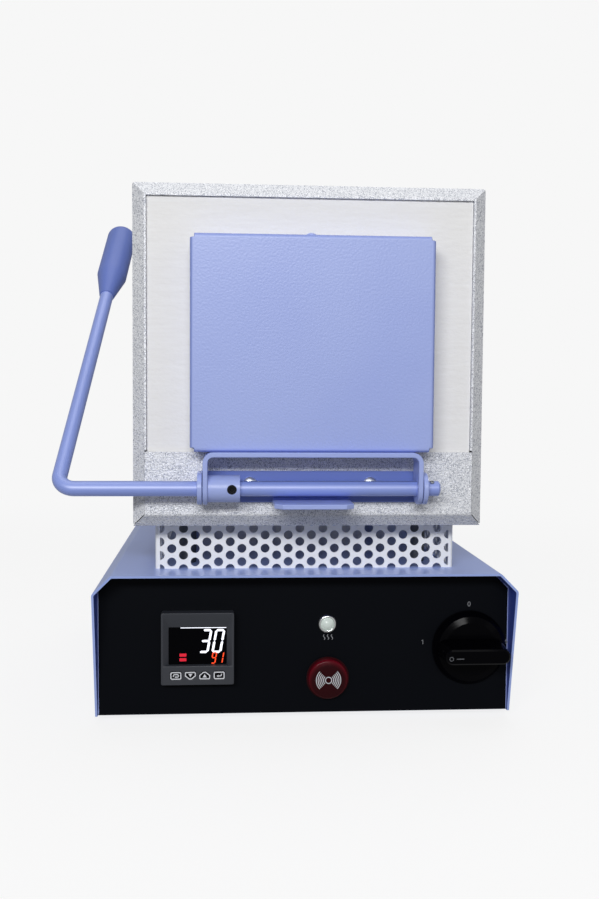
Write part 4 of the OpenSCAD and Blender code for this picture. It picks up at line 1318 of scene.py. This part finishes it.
@dataclass
class KeyPrint:
    """The white outline round a controller key, and the icon on it."""

    icon: Icon
    width: float = 7.4
    height: float = 5.2
    corner: float = 1.2
    inset: float = 0.08
    line: float = 0.7
    stroke: float = 0.6
    house: tuple[Pair, ...] = (
        (-0.82, -1.0), (0.82, -1.0), (1.0, -0.7), (1.0, 0.12),
        (0.24, 1.0), (-0.24, 1.0), (-1.0, 0.12), (-1.0, -0.7),
    )  # fmt: skip

    def outline(self) -> Outline:
        """Draws the key's own outline, centred and anticlockwise.

        Returns:
            A block, or the up key's house shape, which stands on its head for down.
        """
        if self.icon in (Icon.LOOP, Icon.ENTER):
            return block_outline(self.width, self.height, self.corner)
        up = [(x * self.width / 2, z * self.height / 2) for x, z in self.house]
        return up if self.icon is Icon.UP else [(x, -z) for x, z in reversed(up)]

    def draw_icon(self, ink: Print) -> None:
        """Draws a loop arrow, a triangle or a return arrow.

        Args:
            ink: The drawing that gets it.
        """
        match self.icon:
            case Icon.UP:
                ink.fill([(-1.35, -1.3), (1.35, -1.3), (0.0, 1.0)])
            case Icon.DOWN:
                ink.fill([(1.35, 1.3), (-1.35, 1.3), (0.0, -1.0)])
            case Icon.LOOP:
                around = arc(0.85, -90, 90, 8, (0.85, 0)) + arc(0.85, 90, 225, 9, (-0.85, 0))
                ink.line([(0.2, -0.85), *around], self.stroke)
                ink.fill([(0.3, -1.5), (0.3, -0.2), (-0.8, -0.85)])
            case Icon.ENTER:
                ink.line([(1.55, 1.1), (1.45, 0.1), (1.0, -0.35), (-0.6, -0.4)], self.stroke)
                ink.fill([(-0.4, -1.2), (-0.4, 0.4), (-1.7, -0.4)])

    def build(self, shop: Workshop) -> None:
        """Prints the key.

        Args:
            shop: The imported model.
        """
        key = self.icon.value
        ink = Print(Box.of(key).middle)
        edge = self.outline()
        ink.ring(grown(edge, -self.inset), grown(edge, -self.inset - self.line))
        self.draw_icon(ink)
        shop.finish(ink.build(f"{key}_print"), shop.body_of(key), "white_coat", WHITE_INK)


@dataclass
class SegmentDigits:
    """Seven-segment numbers: seven bars round and across a slanted block, with mitred ends.

    `bars` gives each bar's ends as fractions of the digit's width and height.
    """

    number: str
    left: float
    base: float
    width: float
    height: float
    stroke: float
    advance: float
    gap: float = 0.1
    slant: float = 10.0
    bars: dict[str, tuple[Pair, Pair]] = field(
        default_factory=lambda: {
            "A": ((0, 1), (1, 1)),
            "B": ((1, 1), (1, 0.5)),
            "C": ((1, 0.5), (1, 0)),
            "D": ((0, 0), (1, 0)),
            "E": ((0, 0.5), (0, 0)),
            "F": ((0, 1), (0, 0.5)),
            "G": ((0, 0.5), (1, 0.5)),
        }
    )
    lit: dict[str, str] = field(
        default_factory=lambda: {"0": "ABCDEF", "1": "BC", "3": "ABCDG", "9": "ABCDFG"}
    )

    def draw(self, ink: Print) -> None:
        """Draws the lit bars of every digit.

        Args:
            ink: The drawing that gets them.
        """
        half = self.stroke / 2
        lean = math.tan(math.radians(self.slant))
        for place, digit in enumerate(self.number):
            corner = Vector((self.left + place * self.advance + half, self.base + half))
            for bar in self.lit[digit]:
                start, end = (
                    corner + Vector((x * (self.width - self.stroke), z * (self.height - self.stroke)))
                    for x, z in self.bars[bar]
                )
                along = (end - start).normalized()
                aside = Vector((-along.y, along.x)) * half
                start, end = start + along * self.gap, end - along * self.gap
                tips = [
                    start, start + along * half - aside, end - along * half - aside,
                    end, end - along * half + aside, start + along * half + aside,
                ]  # fmt: skip
                ink.fill([(p.x + lean * (p.y - self.base), p.y) for p in tips])


@dataclass
class Controller:
    """Temperature controller: case, smoked window with lit numbers and a painted glare line on its top edge,
    and four printed keys.

    Places are measured from the middle of the window.
    """

    case_edge: float = 0.3
    window_edge: float = 0.1
    key_edge: float = 0.15
    upper: SegmentDigits = field(
        default_factory=lambda: SegmentDigits(
            "30", left=0.4, base=-4.9, width=6.6, height=16.1, stroke=1.5, advance=8.5
        )
    )
    lower: SegmentDigits = field(
        default_factory=lambda: SegmentDigits(
            "91", left=8.4, base=-12.1, width=3.2, height=8.0, stroke=0.75, advance=4.7
        )
    )
    flag_width: float = 4.6
    flag_height: float = 2.1
    flag_corner: float = 0.4
    flag_places: tuple[Pair, ...] = ((-9.7, -6.15), (-9.7, -9.25))
    # Painted highlight: a thin glowing strip along the window's top edge, for the glare it catches
    painted_glare_line: tuple[Pair, Pair] = ((-11.3, 11.85), (18.9, 12.3))

    def build(self, shop: Workshop) -> None:
        """Builds the controller.

        Args:
            shop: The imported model.
        """
        shop.soften("controller_case", self.case_edge)
        shop.soften("controller_window", self.window_edge)
        for icon in Icon:
            shop.soften(icon.value, self.key_edge)
            KeyPrint(icon).build(shop)
        body = shop.body_of("controller_window")
        white, orange, red = (Print(Box.of("controller_window").middle) for _ in range(3))
        self.upper.draw(white)
        # Painted highlight: the glare line is drawn with the lit white segments
        (x0, z0), (x1, z1) = self.painted_glare_line
        white.fill([(x0, z0), (x1, z0), (x1, z1), (x0, z1)])
        shop.finish(white.build("display_upper_number"), body, "white_coat", WHITE_SEGMENTS)
        self.lower.draw(orange)
        shop.finish(orange.build("display_lower_number"), body, "red_lens", ORANGE_SEGMENTS)
        flag = block_outline(self.flag_width, self.flag_height, self.flag_corner)
        for x, z in self.flag_places:
            red.fill([(x + a, z + b) for a, b in flag])
        shop.finish(red.build("display_flags"), body, "red_lens", RED_FLAGS)


@dataclass
class Buzzer:
    """Red domed buzzer: lens, the red flange round it, and plain sound arcs printed on the lens.

    `fall` is how far the dome falls back for each millimetre from its crown, and `shade_down` how far
    below that crown the middle of the painted rim light lies, which makes its top lighter. Full rings have
    `steps` sides and fans `fan_steps`.
    """

    lens_edge: float = 0.2
    flange: Pair = (13.2, 14.4)
    flange_thick: float = 0.08
    print_thick: float = 0.06
    shade_down: float = 1.3
    ring_radius: float = 2.1
    arc_radii: tuple[float, ...] = (3.4, 4.6, 5.8, 7.0, 8.2)
    half_fan: float = 45.0
    line: float = 0.45
    fall: float = 0.4 / 8.25
    steps: int = 48
    fan_steps: int = 12

    def build(self, shop: Workshop) -> None:
        """Builds the buzzer.

        Args:
            shop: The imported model.
        """
        plain = FINISHES["red_lens"]
        face, body = Box.of("buzzer_lens").middle, Box.of("buzzer_body").middle
        # Painted light: the lens's rim takes a lighter red, strongest at its top
        lens = RimLitLens(
            "rim_lit_red_polycarbonate",
            plain.colour,
            plain.roughness,
            clearness=plain.clearness,
            specular=plain.specular,
            centre=(face.x, face.y, face.z - self.shade_down),
        )
        shop.soften("buzzer_body")
        shop.soften("buzzer_lens", self.lens_edge, finish=lens)
        flange = Print(Vector((face.x, body.y, face.z)), self.flange_thick)
        inner, outer = (circle(radius, self.steps) for radius in self.flange)
        flange.ring(outer, inner)
        shop.finish(flange.build("buzzer_flange"), shop.body_of("buzzer_lens"), "red_lens")
        self.print_arcs(shop, face)

    def print_arcs(self, shop: Workshop, face: Vector) -> None:
        """Prints a ring, and fans of arcs left and right of it.

        Args:
            shop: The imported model.
            face: The lens's crown.
        """
        ink = Print(face, self.print_thick)
        half, ring = self.line / 2, self.ring_radius
        ink.ring(circle(ring + half, self.steps), circle(ring - half, self.steps), self.fall * ring)
        for radius in self.arc_radii:
            for start in (-self.half_fan, 180 - self.half_fan):
                end = start + 2 * self.half_fan
                outer = arc(radius + half, start, end, self.fan_steps)
                inner = arc(radius - half, end, start, self.fan_steps)
                ink.fill(outer + inner, self.fall * radius)
        shop.finish(ink.build("buzzer_print"), shop.body_of("buzzer_lens"), "white_coat", WHITE_INK)


@dataclass
class Dial:
    """The knob with its engraved mark, and the plain numbers on the panel round it.

    Places are measured from the knob's middle, and `strokes` are fractions of a number's height.
    """

    knob_sharp: float = 12.0
    numbers: dict[str, Pair] = field(
        default_factory=lambda: {"0": (0.0, 29.3), "1": (-31.5, 3.5), "6": (26.0, 3.5)}
    )
    strokes: dict[str, Outline] = field(
        default_factory=lambda: {
            "0": [(0.56 * x, z) for z, x in arc(0.5, 0, 360, 16)],
            "1": [(-0.22, 0.28), (0.02, 0.48), (0.06, 0.2), (0.06, -0.5)],
            "6": [
                (0.2, 0.5), (-0.06, 0.3), (-0.24, 0.0), (-0.28, -0.24), (-0.16, -0.44), (0.04, -0.5),
                (0.24, -0.38), (0.28, -0.16), (0.16, 0.02), (-0.04, 0.04), (-0.22, -0.1),
            ],  # fmt: skip
        }
    )
    number_height: float = 3.0
    number_line: float = 0.42
    mark_at: Pair = (-17.8, -0.8)
    mark_radius: float = 1.5
    mark_ring: float = 0.5
    mark_line: tuple[Pair, Pair] = ((-14.5, -0.8), (-9.5, -0.8))
    mark_line_width: float = 0.6
    mark_steps: int = 24
    thick: float = 0.04

    def build(self, shop: Workshop) -> None:
        """Builds the knob and prints the panel.

        Args:
            shop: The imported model.
        """
        shop.soften("selector_knob", 0, sharp=self.knob_sharp)
        shop.soften("selector_shaft")
        knob, panel = Box.of("selector_knob").middle, Box.of("panel_overlay").middle
        mark = Print(knob, self.thick)
        outer, inner = (
            circle(radius, self.mark_steps, self.mark_at)
            for radius in (self.mark_radius, self.mark_radius - self.mark_ring)
        )
        mark.ring(outer, inner)
        mark.line(list(self.mark_line), self.mark_line_width)
        shop.finish(mark.build("knob_mark"), shop.body_of("selector_knob"), "knob_plastic", ENGRAVING_INK)
        for number, (x, z) in self.numbers.items():
            ink = Print(Vector((knob.x + x, panel.y, knob.z + z)), self.thick)
            path = [(self.number_height * u, self.number_height * v) for u, v in self.strokes[number]]
            ink.line(path, self.number_line)
            shop.finish(ink.build(f"dial_{number}"), shop.body_of("panel_overlay"), "white_coat", GREY_INK)


@dataclass
class FrontPanel:
    """Overlay, controller, pilot lamp, buzzer and dial."""

    overlay_edge: float = 0.1
    bezel_edge: float = 0.3
    bezel_steps: int = 3
    lens_edge: float = 0.2
    heat_at: Pair = (0.6, -11.0)
    wave_step: float = 2.6
    wave_height: float = 3.4
    wave_swing: float = 0.5
    wave_line: float = 0.5
    wave_steps: int = 16
    thick: float = 0.04

    def build(self, shop: Workshop) -> None:
        """Builds the panel.

        Args:
            shop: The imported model.
        """
        shop.soften("panel_overlay", self.overlay_edge)
        Controller().build(shop)
        shop.soften("pilot_bezel", self.bezel_edge, self.bezel_steps)
        shop.soften("pilot_lens", self.lens_edge)
        Buzzer().build(shop)
        Dial().build(shop)
        self.print_heat(shop)

    def print_heat(self, shop: Workshop) -> None:
        """Prints three heat waves under the pilot lamp.

        Args:
            shop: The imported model.
        """
        lamp, panel = Box.of("pilot_lens").middle, Box.of("panel_overlay").middle
        ink = Print(Vector((lamp.x + self.heat_at[0], panel.y, lamp.z + self.heat_at[1])), self.thick)
        shares = [i / self.wave_steps for i in range(self.wave_steps + 1)]
        wave = [(self.wave_swing * math.sin(t * math.tau), t * self.wave_height) for t in shares]
        for place in (-1, 0, 1):
            ink.line([(place * self.wave_step + x, z) for x, z in wave], self.wave_line)
        shop.finish(ink.build("heat_print"), shop.body_of("panel_overlay"), "white_coat", GREY_INK)


@dataclass
class Casing:
    """Perforated plinth, hammered casing with its rear sheet and terminal cover, and the front board."""

    plinth: tuple[str, ...] = ("plinth_front", "plinth_rear", "plinth_left", "plinth_right")
    sheets: tuple[str, ...] = ("casing_bottom", "casing_rear", "terminal_cover")
    sheet_edge: float = 0.12
    board_edge: float = 0.08

    def build(self, shop: Workshop) -> None:
        """Builds the casing.

        Args:
            shop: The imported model.
        """
        for name in self.plinth:
            shop.dress(name)
        shop.soften("casing_wrap", 0)
        for name in self.sheets:
            shop.soften(name, self.sheet_edge)
        shop.soften("front_board", self.board_edge)


@dataclass
class Chamber:
    """Lining, backing slabs, thermocouple, terminals and the wound heating coils.

    The coils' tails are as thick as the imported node's: `tail_plies` times the wire, as if folded double.
    """

    lining: tuple[str, ...] = (
        "chamber_floor",
        "chamber_roof",
        "heater_tile_left",
        "heater_tile_right",
        "rear_insulation",
        "side_insulation",
        "top_insulation",
        "bottom_insulation",
        "hearth_tile",
    )
    fittings: tuple[str, ...] = ("thermocouple", "heater_terminals")
    lining_edge: float = 0.5
    wire: float = 1.5
    pitch: float = 2.9
    wire_sides: int = 5
    tail_plies: float = 2.0
    tail_sides: int = 12
    turn_points: int = 12

    def build(self, shop: Workshop) -> None:
        """Builds the chamber.

        Args:
            shop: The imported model.
        """
        for name in self.lining:
            shop.soften(name, self.lining_edge)
        for name in self.fittings:
            shop.soften(name)
        self.wind_coils(shop)

    def wind_coils(self, shop: Workshop) -> None:
        """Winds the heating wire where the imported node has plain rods, and keeps the rods' tails.

        Args:
            shop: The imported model.
        """
        node = "heating_coils"
        boxes = islands(shop.nodes[node].data)
        back = min(hi.y for _, hi in boxes)
        points = [Vector(((lo.x + hi.x) / 2, lo.y, (lo.z + hi.z) / 2)) for lo, hi in boxes]
        across = boxes[0][1].x - boxes[0][0].x
        carrier = link_object(f"{node}_finished", mesh_from(f"{node}_finished", points, []))
        tails = carrier.data.attributes.new("tail", "FLOAT", "POINT")
        for i, (_, hi) in enumerate(boxes):
            tails.data[i].value = (hi.y - back) * MM
        length = back - points[0].y
        repeat = RepeatTree(
            "wound_coils",
            {
                "Coil Radius": ("NodeSocketFloat", (across - self.wire) / 2 * MM),
                "Coil Length": ("NodeSocketFloat", (length - self.wire) * MM),
                "Turns": ("NodeSocketFloat", length / self.pitch),
                "Wire Radius": ("NodeSocketFloat", self.wire / 2 * MM),
            },
        )
        both = repeat.add("GeometryNodeJoinGeometry")
        for made in (self.coils(repeat), self.tails(repeat, length)):
            feed(repeat.tree, both, {0: made.outputs[0]})
        repeat.close(both.outputs[0], FINISHES[shop.slot_of(node)])
        shop.finish(repeat.run(carrier), shop.body_of(node), shop.slot_of(node), replaces=(node,))

    def along_y(self, repeat: RepeatTree) -> Links:
        """What puts instances at the coils' places, with their Z turned to the back."""
        return {"Points": repeat.input("Geometry"), "Rotation": (-math.pi / 2, 0, 0)}

    def coils(self, repeat: RepeatTree) -> Node:
        """Adds a wound wire at every coil's place.

        Args:
            repeat: The tree that gets them.

        Returns:
            The node that puts them there.
        """
        spiral = repeat.add(
            "GeometryNodeCurveSpiral",
            {
                "Resolution": self.turn_points,
                "Rotations": repeat.input("Turns"),
                "Start Radius": repeat.input("Coil Radius"),
                "End Radius": repeat.input("Coil Radius"),
                "Height": repeat.input("Coil Length"),
            },
        )
        section = repeat.add(
            "GeometryNodeCurvePrimitiveCircle",
            {"Resolution": self.wire_sides, "Radius": repeat.input("Wire Radius")},
        )
        wound = repeat.add(
            "GeometryNodeCurveToMesh",
            {"Curve": spiral.outputs[0], "Profile Curve": section.outputs[0], "Fill Caps": True},
        )
        smooth = repeat.add("GeometryNodeSetShadeSmooth", {0: wound.outputs[0]})
        placed = self.along_y(repeat) | {"Instance": smooth.outputs[0]}
        return repeat.add("GeometryNodeInstanceOnPoints", placed)

    def tails(self, repeat: RepeatTree, length: float) -> Node:
        """Adds a straight tail behind every coil that has one.

        Args:
            repeat: The tree that gets them.
            length: The coils' own length.

        Returns:
            The node that puts them there.
        """
        tail = repeat.attribute("tail", "FLOAT")
        rod = repeat.add(
            "GeometryNodeMeshCylinder",
            {"Vertices": self.tail_sides, "Radius": repeat.input("Wire Radius"), "Depth": 1.0},
        )
        stretch = repeat.add("ShaderNodeCombineXYZ", {0: self.tail_plies, 1: self.tail_plies, 2: tail})
        has_tail = repeat.add("FunctionNodeCompare", {0: tail, 1: MM}, operation="GREATER_THAN")
        placed = self.along_y(repeat) | {
            "Selection": has_tail.outputs[0],
            "Instance": rod.outputs[0],
            "Scale": stretch.outputs[0],
        }
        rods = repeat.add("GeometryNodeInstanceOnPoints", placed)
        middle = repeat.add(
            "ShaderNodeMath", {0: tail, 1: 0.5, 2: length * MM}, operation="MULTIPLY_ADD"
        )
        behind = repeat.add("ShaderNodeCombineXYZ", {1: middle.outputs[0]})
        return repeat.add(
            "GeometryNodeTranslateInstances",
            {"Instances": rods.outputs[0], "Translation": behind.outputs[0], "Local Space": False},
        )


@dataclass
class DoorMechanism:
    """Door pan with its board, bracket, fixed hinge plate, and the rod that is shaft and lever.

    `edges` gives the width of each piece's broken edges. `flat_depth` is how far in front of its back
    the hinge plate's flat part reaches, which takes painted shade, and `facing` the least cosine of a face
    that looks forward.
    """

    edges: dict[str, float] = field(
        default_factory=lambda: {
            "door_shell": 0.45,
            "door_board": 0.4,
            "door_bracket": 0.45,
            "hinge_plate": 0.4,
            "hinge_hub": 0.1,
            "set_screw": 0.12,
            "lever_rod": 0.3,
            "lever_grip": 0.4,
            "shaft_pin": 0.2,
        }
    )
    flat_depth: float = 4.0
    facing: float = 0.9
    screws: dict[str, Triple] = field(
        default_factory=lambda: {
            "hinge_screws": (0, -1, 0),
            "bracket_screws": (0, 0, -1),
            "door_screw": (0, 0, 1),
        }
    )

    def build(self, shop: Workshop) -> None:
        """Builds the door and its lever.

        Args:
            shop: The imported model.
        """
        made = {}
        for name, edge in self.edges.items():
            made[name] = shop.soften(name, edge, finish=DEEP_BLUE_AND_PAINTED_SHADE if name == "lever_grip" else None)
        for name, facing in self.screws.items():
            CrossRecess().cut(shop, name, [Vector(facing)])
        # Painted shade: the hinge plate's flat front, shaded by the door and bracket, takes the deeper blue
        flat_from = Box.of("hinge_plate").hi.y - self.flat_depth
        recoat(
            made["hinge_plate"],
            DEEP_BLUE_AND_PAINTED_SHADE,
            lambda face: -face.normal.y > self.facing and face.center.y / MM > flat_from,
        )
        # Painted shade on the door's folds and flanges: every face that does not look forward takes the
        # deeper blue
        recoat(made["door_shell"], PAINTED_SHADE_FOLD_BLUE, lambda face: -face.normal.y < self.facing)


def main() -> None:
    """Builds every sub-assembly in order."""
    logging.basicConfig(level=logging.INFO, format="%(message)s")
    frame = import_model()
    shop = Workshop(frame["nodes"])
    Studio().build()
    for part in (Base(), FrontPanel(), Casing(), Chamber(), DoorMechanism()):
        part.build(shop)
    LOG.info("%d pieces", shop.made)


if __name__ == "__main__":
    main()
